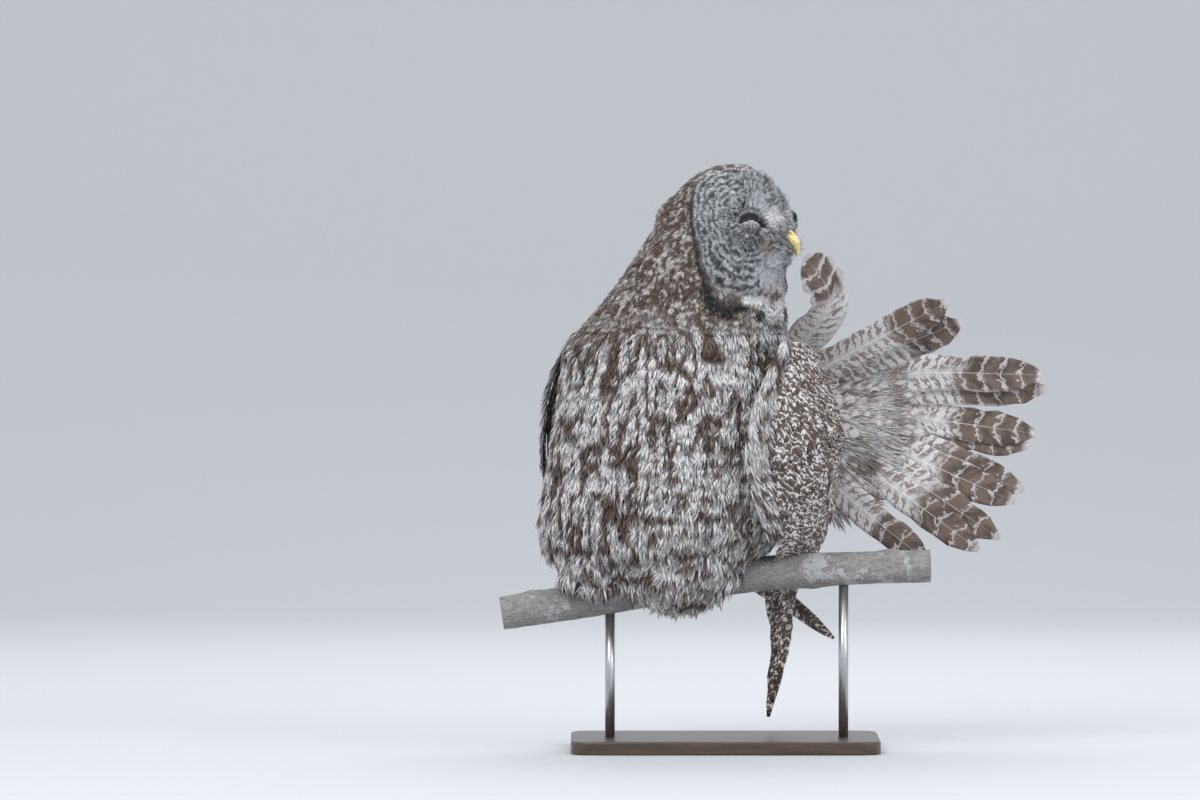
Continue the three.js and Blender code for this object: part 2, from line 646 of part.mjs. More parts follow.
// The tiers of a folded wing. Each has its count, where the roots and tips of its first feather at
// the front edge and its last at the rear edge lie, its half breadth and its heights on the wing.
const WING_TIERS = [
  {
    count: 7, roots: [[-0.5, 0.36], [0.4, 0.34]], tips: [[-0.1, 1], [0.6, 0.74]],
    half: 12.5, lifts: [-6, 3], tilt: 0, blunt: 0.93, shaft: 1,
  },
  {
    count: 7, roots: [[-0.62, 0.2], [0.6, 0.16]], tips: [[-0.8, 0.66], [0.92, 0.56]],
    half: 15, lifts: [6.8, 6.8], tilt: 0.12, blunt: 0.9, shaft: 0.9,
  },
  {
    count: 2, roots: [[0.5, 0.12], [0.68, 0.08]], tips: [[0.74, 0.49], [0.98, 0.43]],
    half: 14, lifts: [11.2, 11.2], tilt: 0.1, blunt: 0.9, shaft: 1.1,
  },
  {
    count: 5, roots: [[-0.66, 0.14], [0.32, 0.1]], tips: [[-0.86, 0.44], [0.42, 0.36]],
    half: 16, lifts: [11.2, 11.2], tilt: 0.1, blunt: 0.86, shaft: 0,
  },
  {
    count: 5, roots: [[-0.55, 0.04], [0.5, 0.02]], tips: [[-0.82, 0.28], [0.68, 0.2]],
    half: 17, lifts: [14.8, 14.8], tilt: 0.09, blunt: 0.84, shaft: 0,
  },
];

// How far down the core runs, as a share of the wing, and how far it reaches in and out of the sheet.
const WING_CORE = { to: 0.5, under: 14, over: 19 };

function wingNode(wing, cutters, random) {
  const lay = wingSheet(wing);
  const feathers = WING_TIERS.flatMap((tier) => Array.from({ length: tier.count }, (_, i) => {
    const share = tier.count > 1 ? i / (tier.count - 1) : 0;
    const mix = ([first, last], k) => THREE.MathUtils.lerp(first[k], last[k], share);
    return wingFeather(lay, {
      ...tier,
      lift: THREE.MathUtils.lerp(...tier.lifts, share),
      root: [mix(tier.roots, 0), mix(tier.roots, 1)],
      tip: [mix(tier.tips, 0), mix(tier.tips, 1) - 0.015 * random()],
    });
  }));
  const core = wingCore(lay, WING_CORE);
  const all = joined([core, ...feathers]);
  return largest(without(all, cutters));
}

// Tail

function rump(grow = 0) {
  const centre = blended(RUMP_SECTIONS, (s) => [s.x, s.y, s.z]);
  const size = blended(RUMP_SECTIONS, (s) => [s.deep, s.tall, 0]);
  const [round, rows] = [20, 8];
  const rings = Array.from({ length: rows + 1 }, (_, i) => {
    const c = centre(i / rows);
    const s = size(i / rows);
    return Array.from({ length: round }, (_, j) => {
      const turn = (2 * Math.PI * j) / round;
      return new THREE.Vector3(c.x, c.y + (s.x + grow) * Math.cos(turn), c.z + (s.y + grow) * Math.sin(turn));
    });
  });
  return solidOf(skinOver(rings, centre(0), centre(1)));
}

// A tail feather: its shaft bends through the listed points, and its face turns as given.
function tailFeather({ root, bend, tip, half, face, shaft, shape, edge }) {
  const line = new THREE.CatmullRomCurve3([root, ...bend.map(vec), vec(tip)], false, "catmullrom", 0.5);
  const at = (along, across, lift) => {
    const forward = line.getTangentAt(along);
    const side = new THREE.Vector3().crossVectors(new THREE.Vector3(face, -1, 0), forward).normalize();
    const out = new THREE.Vector3().crossVectors(forward, side).normalize();
    return line.getPointAt(along).addScaledVector(side, across).addScaledVector(out, lift);
  };
  return vane({ at, inner: half, outer: half, edge, shape, shaft });
}

function rectrix(one, index) {
  const root = vec(TAIL_ROOT).add(new THREE.Vector3(0, (index % 2) * 1.6 - 0.8, 14 - 2.6 * index));
  const shape = one.node === "tail_upper" ? LONG_VANE : VANE;
  return tailFeather({ ...one, root, shaft: 2, edge: 0.8, shape });
}

// Tail coverts in tiers that fan from the root, over the rectrices on both sides.
function tailCoverts(tier, random) {
  return Array.from({ length: tier.count }, (_, i) => {
    const angle = radians(THREE.MathUtils.lerp(tier.from, tier.to, i / (tier.count - 1)));
    const reach = tier.reach * (0.94 + 0.12 * random());
    const dir = new THREE.Vector3(Math.cos(angle), 0, Math.sin(angle));
    const stops = [tier.start, (tier.start + reach) / 2, reach];
    const [root, middle, tip] = stops.map((distance, k) => vec(TAIL_ROOT)
      .addScaledVector(dir, distance)
      .add(new THREE.Vector3(0, tier.side * tier.depths[k], 0)));
    tip.y += 1.2 * (i % 2);
    return tailFeather({
      root, bend: [middle.toArray()], tip: tip.toArray(), half: COVERT_HALF, face: 0,
      shaft: 0, edge: 0.8, shape: SHORT_VANE,
    });
  });
}

function tailNodes(cutters, random) {
  const plane = (degrees) => {
    const normal = [-Math.sin(radians(degrees)), 0, Math.cos(radians(degrees))];
    return { normal, offset: TAIL_ROOT[0] * normal[0] + TAIL_ROOT[2] * normal[2] };
  };
  const above = (solid, degrees) => {
    const { normal, offset } = plane(degrees);
    return solid.trimByPlane(normal, offset + GAP / 2);
  };
  const below = (solid, degrees) => {
    const { normal, offset } = plane(degrees);
    return solid.trimByPlane(normal.map((n) => -n), GAP / 2 - offset);
  };
  const coverts = TAIL_COVERTS.flatMap((tier) => tailCoverts(tier, random));
  const trims = {
    tail_upper: (solid) => above(above(solid, TAIL_CUTS.lower), TAIL_CUTS.upper),
    tail_middle: (solid) => below(above(solid, TAIL_CUTS.lower), TAIL_CUTS.upper),
    tail_lower: (solid) => below(solid, TAIL_CUTS.lower),
  };
  const nodes = {};
  for (const [name, trim] of Object.entries(trims)) {
    const feathers = RECTRICES.map((one, i) => [one, i]).filter(([one]) => one.node === name)
      .map(([one, i]) => rectrix(one, i));
    const extra = name === "tail_upper" ? [] : coverts;
    nodes[name] = largest(without(trim(joined([rump(), ...feathers, ...extra])), cutters));
  }
  return nodes;
}

// Assembly

const solids = { stand_base: standBase(), perch_branch: branch() };
ROD.x.forEach((x, i) => {
  solids[`stand_rod_${["left", "right"][i]}`] = rod(x);
});

solids.head = headNode();
solids.bill_upper = billUpper();
solids.bill_lower = billLower();
for (const [name, side] of [["right", -1], ["left", 1]]) {
  solids[`eye_${name}`] = ball(eyeCentre(side), EYE.radius, 2);
}
const hoodShape = (grow) => levelLoft(HOOD_SECTIONS, { round: 20, rows: 8, grow });
const torsoShape = (grow) => levelLoft(TORSO_SECTIONS, { round: 22, rows: 9, grow });
solids.neck = largest(hoodShape(0).subtract(head(GAP)));
const feet = { left: foot(LEGS.left.foot), right: foot(LEGS.right.foot) };
const footCutters = Object.fromEntries(Object.entries(LEGS).map(([name, leg]) => [
  name, joined([foot(leg.foot, GAP), ...TOES.map((toe) => claw(leg.foot, toe, GAP))])]));
solids.torso = largest(without(torsoShape(0), [
  branch(GAP), legShape(LEGS.left, GAP), legShape(LEGS.right, GAP),
  footPocket(LEGS.left.foot), footPocket(LEGS.right.foot)]));
solids.leg_left = legNode(LEGS.left, [footCutters.left, footCutters.right]);
solids.leg_right = legNode(LEGS.right, [legShape(LEGS.left, GAP), footCutters.right]);
for (const [name, leg] of Object.entries(LEGS)) {
  const claws = TOES.map((toe) => claw(leg.foot, toe));
  solids[`foot_${name}`] = largest(without(feet[name], TOES.map((toe) => claw(leg.foot, toe, GAP))));
  claws.forEach((one, i) => {
    solids[`claw_${name}_${i + 1}`] = one;
  });
}

const bodyCutters = [torsoShape(GAP), hoodShape(GAP), branch(GAP)];
const random = seeded(7);
solids.wing_left = wingNode(LEFT_WING, bodyCutters, random);
solids.wing_right = wingNode(RIGHT_WING, bodyCutters, random);
Object.assign(solids, tailNodes(bodyCutters, random));

const MATERIAL_OF = [
  [/^stand_base/, "wood", 0.5, 0], [/^stand_rod/, "steel", 0.35, 1], [/^perch/, "bark", 0.9, 0],
  [/^head/, "face", 0.9, 0], [/^bill/, "bill", 0.4, 0], [/^eye/, "eye", 0.15, 0],
  [/^neck/, "hood", 0.9, 0], [/^foot/, "foot", 0.9, 0], [/^claw/, "claw", 0.35, 0],
  [/^wing/, "wing", 0.85, 0], [/^tail/, "tail", 0.85, 0], [/./, "breast", 0.9, 0],
];

const owl = new THREE.Group();
for (const [name, solid] of Object.entries(solids)) {
  const [, colour, roughness, metalness] = MATERIAL_OF.find(([pattern]) => pattern.test(name));
  const material = new THREE.MeshStandardMaterial({ color: COLOURS[colour], roughness, metalness });
  const mesh = new THREE.Mesh(geometryOf(solid), material);
  mesh.name = name;
  owl.add(mesh);
}

export default owl;
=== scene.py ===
import math
import bmesh
import bpy
import numpy as np
from mathutils import Matrix, Vector
from mathutils.kdtree import KDTree


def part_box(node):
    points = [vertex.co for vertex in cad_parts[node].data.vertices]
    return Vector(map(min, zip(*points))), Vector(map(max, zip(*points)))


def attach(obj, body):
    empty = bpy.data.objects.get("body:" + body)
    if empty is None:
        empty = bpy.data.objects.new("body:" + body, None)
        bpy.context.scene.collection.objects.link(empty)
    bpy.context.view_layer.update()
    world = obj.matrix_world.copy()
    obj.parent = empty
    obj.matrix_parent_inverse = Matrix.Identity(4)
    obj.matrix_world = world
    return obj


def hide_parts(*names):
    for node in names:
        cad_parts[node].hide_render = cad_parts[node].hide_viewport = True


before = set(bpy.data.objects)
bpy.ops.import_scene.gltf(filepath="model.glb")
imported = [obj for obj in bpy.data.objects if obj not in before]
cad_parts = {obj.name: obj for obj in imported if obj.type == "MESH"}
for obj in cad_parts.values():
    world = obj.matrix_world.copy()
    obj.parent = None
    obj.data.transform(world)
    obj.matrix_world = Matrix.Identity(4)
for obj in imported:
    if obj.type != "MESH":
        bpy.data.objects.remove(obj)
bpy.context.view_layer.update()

# Camera. The photo is taken with a long lens, level with the bird and square to the branch.
# One pixel of the 1200 x 800 picture is 1.2 mm at the bird.
PIXEL = 0.0012
ORIGIN_PX = (725, 750)
CENTRE_PX = (600, 400)
CAMERA_AWAY = 12.0
CAMERA_CLIMB = math.radians(1.6)
SENSOR = 36.0
view_centre = Vector(((CENTRE_PX[0] - ORIGIN_PX[0]) * PIXEL, 0, (ORIGIN_PX[1] - CENTRE_PX[1]) * PIXEL))
camera_data = bpy.data.cameras.new("camera")
camera_data.sensor_width = SENSOR
camera_data.lens = SENSOR * CAMERA_AWAY / (2 * CENTRE_PX[0] * PIXEL)
camera_data.clip_end = 100
camera = bpy.data.objects.new("camera", camera_data)
camera.location = view_centre + CAMERA_AWAY * Vector((0, -math.cos(CAMERA_CLIMB), math.sin(CAMERA_CLIMB)))
camera.rotation_euler = (math.radians(90) - CAMERA_CLIMB, 0, 0)
bpy.context.collection.objects.link(camera)
bpy.context.scene.camera = camera


# Stand base. A flat board of dark stained wood with a rounded edge, cut and lacquered in a workshop.
# It lies on the floor and carries both rods.
class Socket:
    """One output of a shader node, with the arithmetic that the materials use."""

    def __init__(self, tree, link):
        self.tree = tree
        self.link = link

    def maths(self, operation, *others):
        node = self.tree.nodes.new("ShaderNodeMath")
        node.operation = operation
        for place, value in zip(node.inputs, (self, *others)):
            plug(self.tree, place, value)
        return Socket(self.tree, node.outputs[0])

    def __add__(self, other):
        return self.maths("ADD", other)

    def __mul__(self, other):
        return self.maths("MULTIPLY", other)

    def __sub__(self, other):
        return self.maths("SUBTRACT", other)

    def __rsub__(self, other):
        return self.maths("MULTIPLY", -1).maths("ADD", other)

    __radd__ = __add__
    __rmul__ = __mul__

    def step(self, low, high):
        """0 below low, 1 above high, smooth between."""
        node = self.tree.nodes.new("ShaderNodeMapRange")
        node.interpolation_type = "SMOOTHSTEP"
        for place, value in zip(node.inputs, (self, low, high, 0, 1)):
            plug(self.tree, place, value)
        return Socket(self.tree, node.outputs[0])


def plug(tree, place, value):
    if isinstance(value, Socket):
        tree.links.new(value.link, place)
    else:
        place.default_value = value


class Finish:
    """A material: its node tree, with one method that adds a node and plugs its sockets."""

    def __init__(self, name, **surface):
        self.material = bpy.data.materials.new(name)
        self.material.use_nodes = True
        self.tree = self.material.node_tree
        self.surface = self.tree.nodes["Principled BSDF"]
        for socket, value in surface.items():
            self.surface.inputs[socket.replace("_", " ").title()].default_value = value

    def node(self, kind, settings=None, output=0, **sockets):
        node = self.tree.nodes.new("ShaderNode" + kind)
        for key, value in (settings or {}).items():
            setattr(node, key, value)
        for name, value in sockets.items():
            plug(self.tree, node.inputs[name.replace("_", " ")], value)
        return Socket(self.tree, node.outputs[output])

    def attribute(self, name, output=0):
        return self.node("Attribute", {"attribute_name": name}, output=output)

    def place(self, scale=(1, 1, 1), offset=(0, 0, 0)):
        """Object coordinates, centred and stretched by a Mapping node."""
        here = self.node("TexCoord", output="Object")
        return self.node("Mapping", Vector=here, Scale=scale, Location=offset)

    def noise(self, where, scale, detail=3.0, rough=0.55):
        return self.node("TexNoise", Vector=where, Scale=scale, Detail=detail, Roughness=rough)

    def blend(self, factor, first, second):
        node = self.tree.nodes.new("ShaderNodeMix")
        node.data_type = "RGBA"
        plug(self.tree, node.inputs[0], factor)
        for place, value in ((node.inputs[6], first), (node.inputs[7], second)):
            plug(self.tree, place, value if isinstance(value, Socket) else (*value, 1))
        return Socket(self.tree, node.outputs[2])

    def set(self, socket, value):
        plug(self.tree, self.surface.inputs[socket], value if isinstance(value, Socket) else (*value, 1))

    def bump(self, height, strength, distance):
        self.set("Normal", self.node("Bump", Height=height, Strength=strength, Distance=distance))


def new_piece(name, bm, finish, slot, nodes=()):
    """A finished mesh as an object that rides on the model and stands for its nodes."""
    mesh = bpy.data.meshes.new(name)
    bm.to_mesh(mesh)
    bm.free()
    return piece_of(name, mesh, finish, slot, nodes)


def piece_of(name, mesh, finish, slot, nodes=()):
    piece = bpy.data.objects.new(name, mesh)
    mesh.materials.append(finish.material)
    bpy.context.collection.objects.link(piece)
    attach(piece, "root")
    if nodes:
        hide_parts(*nodes)
    return piece


def round_off(bm, edges, radius, segments):
    bmesh.ops.bevel(
        bm, geom=edges, offset=radius, segments=segments, affect="EDGES", profile=0.5, material=-1
    )


BOARD_CORNER = 0.026
BOARD_EDGE = 0.0026
LARGEST_ROUNDED_FACE = 4e-4
STAIN_DARK = (0.030, 0.019, 0.013)
STAIN_LIGHT = (0.082, 0.050, 0.032)
low, high = (Vector(corner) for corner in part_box("stand_base"))
bm = bmesh.new()
bmesh.ops.create_cube(bm, size=1)
bmesh.ops.scale(bm, verts=bm.verts, vec=high - low)
bmesh.ops.translate(bm, verts=bm.verts, vec=(low + high) / 2)
uprights = [e for e in bm.edges if abs(e.verts[0].co.z - e.verts[1].co.z) > 1e-4]
round_off(bm, uprights, BOARD_CORNER, 10)
rims = [e for e in bm.edges if e.calc_face_angle(0) > 1.0]
round_off(bm, rims, BOARD_EDGE, 4)
lacquer = Finish("stained_wood", roughness=0.36, coat_weight=0.25, coat_roughness=0.2)
along = lacquer.place(scale=(6, 60, 60))
rings = lacquer.noise(along, 3.0, 5.0, 0.6)
fibre = lacquer.noise(lacquer.place(scale=(22, 420, 420)), 4.0, 3.0)
tone = (rings * 0.75 + fibre * 0.35).step(0.35, 0.75)
lacquer.set("Base Color", lacquer.blend(tone, STAIN_DARK, STAIN_LIGHT))
lacquer.bump(fibre, 0.12, 0.0005)
board = new_piece("stand_board", bm, lacquer, "stand_wood", ["stand_base"])
for face in board.data.polygons:
    face.use_smooth = face.area < LARGEST_ROUNDED_FACE

# Stand rods. Two straight round bars of brushed steel, 12 mm thick, screwed into the board from
# below. Each runs up to the underside of the branch.
steel = Finish("brushed_steel", metallic=1.0, roughness=0.34)
brushing = steel.noise(steel.place(scale=(900, 900, 30)), 1.0, 2.0)
steel.set("Base Color", steel.blend(brushing.step(0.3, 0.7), (0.40, 0.41, 0.42), (0.56, 0.57, 0.58)))
steel.set("Roughness", brushing * 0.16 + 0.26)
for side in ("left", "right"):
    low, high = (Vector(corner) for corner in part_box("stand_rod_" + side))
    radius = (high.x - low.x) / 2
    bm = bmesh.new()
    bmesh.ops.create_cone(
        bm, cap_ends=True, segments=40, radius1=radius, radius2=radius, depth=high.z - low.z
    )
    bmesh.ops.translate(bm, verts=bm.verts, vec=(low + high) / 2)
    rod = new_piece("stand_bar_" + side, bm, steel, "stand_steel", ["stand_rod_" + side])
    for face in rod.data.polygons:
        face.use_smooth = len(face.vertices) == 4

# Perch. A short cut length of a live limb, some 40 mm thick, of smooth grey bark with pale lichen.
# Both ends are sawn square, and the stand's rods hold it from below.
PERCH_LINE = (
    (-268, -17, 165), (-198, -15, 175), (-126, -15, 187), (-42, -15, 200),
    (52, -15, 213), (162, -14, 219), (246, -12, 221),
)
PERCH_RADIUS = (20, 20.5, 21, 21, 21.5, 20.5, 20)
PERCH_TWIGS = ((0.09, 2.2, 9), (0.31, 5.4, 5), (0.62, 1.1, 5), (0.745, 4.4, 6), (0.9, 1.2, 9))
PERCH_LENGTH = 520
PERCH_MEAN_RADIUS = 21
PERCH_STEPS = 150
PERCH_SIDES = 44
TWIG_SWELL = 0.00042
BARK_SINK = 0.0006
BARK_DARK = (0.150, 0.143, 0.140)
BARK_LIGHT = (0.300, 0.295, 0.295)
LICHEN = (0.47, 0.49, 0.49)
HEARTWOOD = (0.46, 0.33, 0.20)


def catmull(points, t):
    """Points of a smooth curve through the given ones, at shares t of its run of points."""
    points = np.asarray(points, float)
    points = np.vstack([2 * points[0] - points[1], points, 2 * points[-1] - points[-2]])
    spans = len(points) - 3
    place = np.clip(np.asarray(t, float), 0, 1) * spans
    index = np.minimum(place.astype(int), spans - 1)
    f = (place - index)[..., None]
    a, b, c, d = (points[index + k] for k in range(4))
    bend = (2 * b) + (c - a) * f + (2 * a - 5 * b + 4 * c - d) * f**2 + (3 * b - a - 3 * c + d) * f**3
    return bend / 2


def unit(vectors):
    return vectors / np.maximum(np.linalg.norm(vectors, axis=-1, keepdims=True), 1e-9)


def hashed(cells, seed):
    """An even draw from 0 to 1 for each whole-number cell."""
    value = (cells * np.array([73856093, 19349663, 83492791])).sum(axis=-1) + seed * 2654435761
    value = (value ^ (value >> 13)) * 1274126177 & 0xFFFFFFFF
    return ((value ^ (value >> 16)) & 0xFFFFFF) / 0xFFFFFF


def noise(points, size, seed):
    """Smooth noise from 0 to 1. Its lumps have one size, or one each along x, y and z."""
    spread = np.asarray(points) / np.asarray(size)
    cells = np.floor(spread).astype(np.int64)
    part = spread - cells
    part = part * part * (3 - 2 * part)
    total = np.zeros(len(spread))
    for corner in np.ndindex(2, 2, 2):
        share = np.where(np.array(corner) == 1, part, 1 - part).prod(axis=-1)
        total += share * hashed(cells + np.array(corner), seed)
    return total


def loft(bm, rings):
    """Skins a run of closed rings of points with bridges, and caps both ends."""
    edges = []
    caps = []
    for ring in rings:
        verts = [bm.verts.new(p) for p in ring]
        loop = [bm.edges.new((a, b)) for a, b in zip(verts, verts[1:] + verts[:1])]
        edges.append(loop)
        caps.append(verts)
    for first, second in zip(edges, edges[1:]):
        bmesh.ops.bridge_loops(bm, edges=first + second)
    for verts in (caps[0], caps[-1]):
        bm.faces.new(verts)
    bmesh.ops.recalc_face_normals(bm, faces=bm.faces)


def turns_of(sides):
    """The angles of evenly spaced points round a ring."""
    return np.linspace(0, 2 * math.pi, sides, endpoint=False)


share = np.linspace(0, 1, PERCH_STEPS)
line = catmull(PERCH_LINE, share) / 1000
girth = catmull([(r, 0, 0) for r in PERCH_RADIUS], share)[:, 0] / 1000
ahead = unit(np.gradient(line, axis=0))
across = unit(np.cross(ahead, (0, 0, 1)))
above = np.cross(across, ahead)
turns = turns_of(PERCH_SIDES)
rings = []
for i in range(PERCH_STEPS):
    out = np.cos(turns)[:, None] * across[i] + np.sin(turns)[:, None] * above[i]
    surface = line[i] + out * girth[i]
    wave = noise(surface, (0.05, 0.016, 0.016), 3) * 2 - 1
    grain = noise(surface, (0.012, 0.004, 0.004), 4) * 2 - 1
    swell = 0.0009 * wave + 0.0004 * grain
    for at, turn, size in PERCH_TWIGS:
        near = ((share[i] - at) * PERCH_LENGTH / size) ** 2
        beside = (np.angle(np.exp(1j * (turns - turn))) * PERCH_MEAN_RADIUS / size) ** 2
        swell = swell + TWIG_SWELL * size * np.exp(-0.5 * (near + beside))
    rings.append(line[i] + out * (girth[i] - BARK_SINK + swell)[:, None])
bm = bmesh.new()
loft(bm, rings)
bark = Finish("grey_bark", roughness=0.88)
lengthwise = bark.place(scale=(22, 60, 60))
ripple = bark.noise(lengthwise, 6.0, 6.0, 0.65)
fine = bark.noise(bark.place(scale=(150, 420, 420)), 2.0, 4.0, 0.7)
crust = bark.noise(bark.place(offset=(3.1, 0.4, 1.7)), 34.0, 5.0, 0.6)
speck = bark.node("TexVoronoi", Vector=bark.place(), Scale=260.0)
patch = (crust + (speck.step(0.1, 0.5) - 0.5) * 0.10).step(0.57, 0.63)
tone = bark.blend((ripple * 0.6 + fine * 0.4).step(0.36, 0.62), BARK_DARK, BARK_LIGHT)
bark.set("Base Color", bark.blend(patch * 0.6, tone, LICHEN))
bark.bump(ripple * 0.6 + fine * 0.3 + patch * 0.25, 0.7, 0.0016)
sawn = Finish("sawn_end", roughness=0.8)
growth = sawn.node("TexWave", {"wave_type": "RINGS", "rings_direction": "X"},
                   Vector=sawn.place(offset=(0, 0.016, -0.19)), Scale=90.0, Distortion=2.5)
sawn.set("Base Color", sawn.blend(growth, HEARTWOOD, (0.30, 0.20, 0.11)))
perch = new_piece("perch", bm, bark, "bark", ["perch_branch"])
perch.data.materials.append(sawn.material)
for face in perch.data.polygons:
    face.use_smooth = len(face.vertices) == 4
    face.material_index = 0 if len(face.vertices) == 4 else 1

# Skin. The owl's body under its plumage, from crown to toes and back to the root of the tail: one
# closed hide, drawn inside the plumage's outline by the depth of the feathers that cover it.
FLESH = ("head", "neck", "torso", "leg_left", "leg_right", "foot_left", "foot_right")
RUMP_LUMPS = (
    ((60, 108, 392), (62, 34, 50)), ((112, 111, 372), (62, 22, 78)), ((150, 111, 352), (50, 14, 84)),
)
VOXEL = 0.0042
MELT_ROUNDS = 10
HEM_ROUNDS = 40
HEM = (0.450, 0.520)
TOE_COAT = 0.002
BODY_COAT = 0.011
HEAD_COAT = 0.0045
EVERY_WAY = {"use_axis_x": True, "use_axis_y": True, "use_axis_z": True}
HEAD_AT = np.array((10, -3, 620)) / 1000
FACE_YAW = math.radians(-34)
FACE_PITCH = math.radians(9)
EYE_OUT = math.radians(40)
EYE_UP = math.radians(6)
DISC_WIDE = math.radians(52)
DISC_TALL = math.radians(65)
level = math.cos(FACE_PITCH)
face_forward = np.array((math.cos(FACE_YAW) * level, math.sin(FACE_YAW) * level, math.sin(FACE_PITCH)))
face_left = np.cross((0, 0, 1), face_forward)
face_left /= np.linalg.norm(face_left)
face_up = np.cross(face_forward, face_left)
FACE_AXES = np.array((face_forward, face_left, face_up))


def in_face(points):
    """Points as forward, left and up of the head's centre."""
    return (np.asarray(points) - HEAD_AT) @ FACE_AXES.T


def from_face(points):
    return HEAD_AT + np.asarray(points) @ FACE_AXES


def ramp(value, low, high):
    t = np.clip((value - low) / (high - low), 0, 1)
    return t * t * (3 - 2 * t)


def disc_offset(points):
    """0 at the middle of the nearer half of the face, 1 at its dark rim."""
    way = unit(in_face(points))
    mirrored = np.stack([way[:, 0], np.abs(way[:, 1]), way[:, 2]], axis=1)
    turn = np.arctan2(mirrored[:, 1], mirrored[:, 0]) - EYE_OUT
    climb = np.arcsin(np.clip(mirrored[:, 2], -1, 1)) - EYE_UP
    flat = np.hypot(mirrored[:, 0], mirrored[:, 1])
    return np.hypot(turn * flat / DISC_WIDE, climb / DISC_TALL)


def head_share(points):
    """1 on the head's ball, 0 on the body."""
    far = np.linalg.norm(points - HEAD_AT, axis=1)
    return 1 - ramp(far, 0.094, 0.104)


def mixed(first, second, share):
    """The first colour where share is 0, the second where it is 1."""
    return first + (second - first) * share[:, None]


def smooth(mesh):
    mesh.polygons.foreach_set("use_smooth", np.ones(len(mesh.polygons), bool))


def dye(mesh, colours):
    """Gives each point of a mesh its colour."""
    tints = np.column_stack([colours, np.ones(len(colours))]).astype(np.float32)
    mesh.color_attributes.new("tint", "FLOAT_COLOR", "POINT").data.foreach_set("color", tints.ravel())


def read(items, key, width, kind=float):
    """One property of all of a mesh's points, faces or corners, in a row for each."""
    values = np.empty(len(items) * width, kind)
    items.foreach_get(key, values)
    return values.reshape(-1, width)


bm = bmesh.new()
for name in FLESH + ("eye_left", "eye_right", "bill_upper", "bill_lower"):
    bm.from_mesh(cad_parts[name].data)
for centre, radii in RUMP_LUMPS:
    made = bmesh.ops.create_icosphere(bm, subdivisions=4, radius=0.001)
    bmesh.ops.scale(bm, verts=made["verts"], vec=radii)
    bmesh.ops.translate(bm, verts=made["verts"], vec=Vector(centre) / 1000)
bmesh.ops.remove_doubles(bm, verts=bm.verts, dist=1e-6)
rough = bpy.data.meshes.new("rough_body")
bm.to_mesh(rough)
bm.free()
rough_body = bpy.data.objects.new("rough_body", rough)
bpy.context.collection.objects.link(rough_body)
remesh = rough_body.modifiers.new("remesh", "REMESH")
remesh.mode = "VOXEL"
remesh.voxel_size = VOXEL
evaluated = rough_body.evaluated_get(bpy.context.evaluated_depsgraph_get())
bm = bmesh.new()
bm.from_mesh(evaluated.to_mesh())
evaluated.to_mesh_clear()
bpy.data.objects.remove(rough_body)
shells = []
loose = set(bm.verts)
while loose:
    shell = set()
    front = {next(iter(loose))}
    while front:
        shell |= front
        front = {e.other_vert(v) for v in front for e in v.link_edges} - shell
    shells.append(shell)
    loose -= shell
largest_shell = max(shells, key=len)
bmesh.ops.delete(bm, geom=[v for v in bm.verts if v not in largest_shell], context="VERTS")
for _ in range(MELT_ROUNDS):
    bmesh.ops.smooth_vert(bm, verts=bm.verts, factor=0.5, **EVERY_WAY)
hem = [v for v in bm.verts if HEM[0] < v.co.z < HEM[1]]
for _ in range(HEM_ROUNDS):
    bmesh.ops.smooth_vert(bm, verts=hem, factor=0.5, **EVERY_WAY)
bm.normal_update()
points = np.array([v.co for v in bm.verts])
toes = (points[:, 2] < 0.212) & (np.abs(points[:, 1] + 0.015) < 0.05)
coat_depth = np.where(toes, TOE_COAT, BODY_COAT)
coat_depth = coat_depth * (1 - head_share(points)) + HEAD_COAT * head_share(points)
for vert, depth in zip(bm.verts, coat_depth):
    vert.co -= vert.normal * depth
bmesh.ops.smooth_vert(bm, verts=bm.verts, factor=0.5, **EVERY_WAY)
bmesh.ops.recalc_face_normals(bm, faces=bm.faces)
bmesh.ops.triangulate(bm, faces=bm.faces)

BROWN = np.array((0.116, 0.074, 0.057))
HOOD_BROWN = np.array((0.122, 0.083, 0.066))
PALE = np.array((0.72, 0.70, 0.70))
FLECK = np.array((0.60, 0.56, 0.53))
SOFT_GREY = np.array((0.40, 0.37, 0.36))
RING_DARK = np.array((0.042, 0.043, 0.047))
RING_PALE = np.array((0.60, 0.62, 0.65))
BLACK = np.array((0.010, 0.009, 0.010))
WHITE = np.array((0.84, 0.84, 0.86))
CREAM = np.array((0.68, 0.62, 0.44))
TAN = np.array((0.42, 0.36, 0.32))
# Marks of the face and chin in mm from the head's centre: sideways from the middle line, up, half
# width, half height, colour and strength. Both sides carry them alike.
FACE_MARKS = (
    (25, 27, 15, 17, RING_PALE, 0.7), (13, 6, 13, 17, WHITE, 0.95),
    (24, -24, 12, 10, TAN, 0.6), (29, 3, 6, 8, BLACK, 0.9), (36, -16, 7, 14, RING_DARK, 0.5),
    (14, -54, 21, 27, RING_PALE, 0.9), (34, -88, 21, 10, WHITE, 0.95), (9, -103, 14, 14, WHITE, 0.9),
    (29, -107, 8, 8, BLACK, 0.95), (6, -123, 14, 6, RING_DARK, 0.7), (18, -137, 26, 15, RING_PALE, 0.8),
)


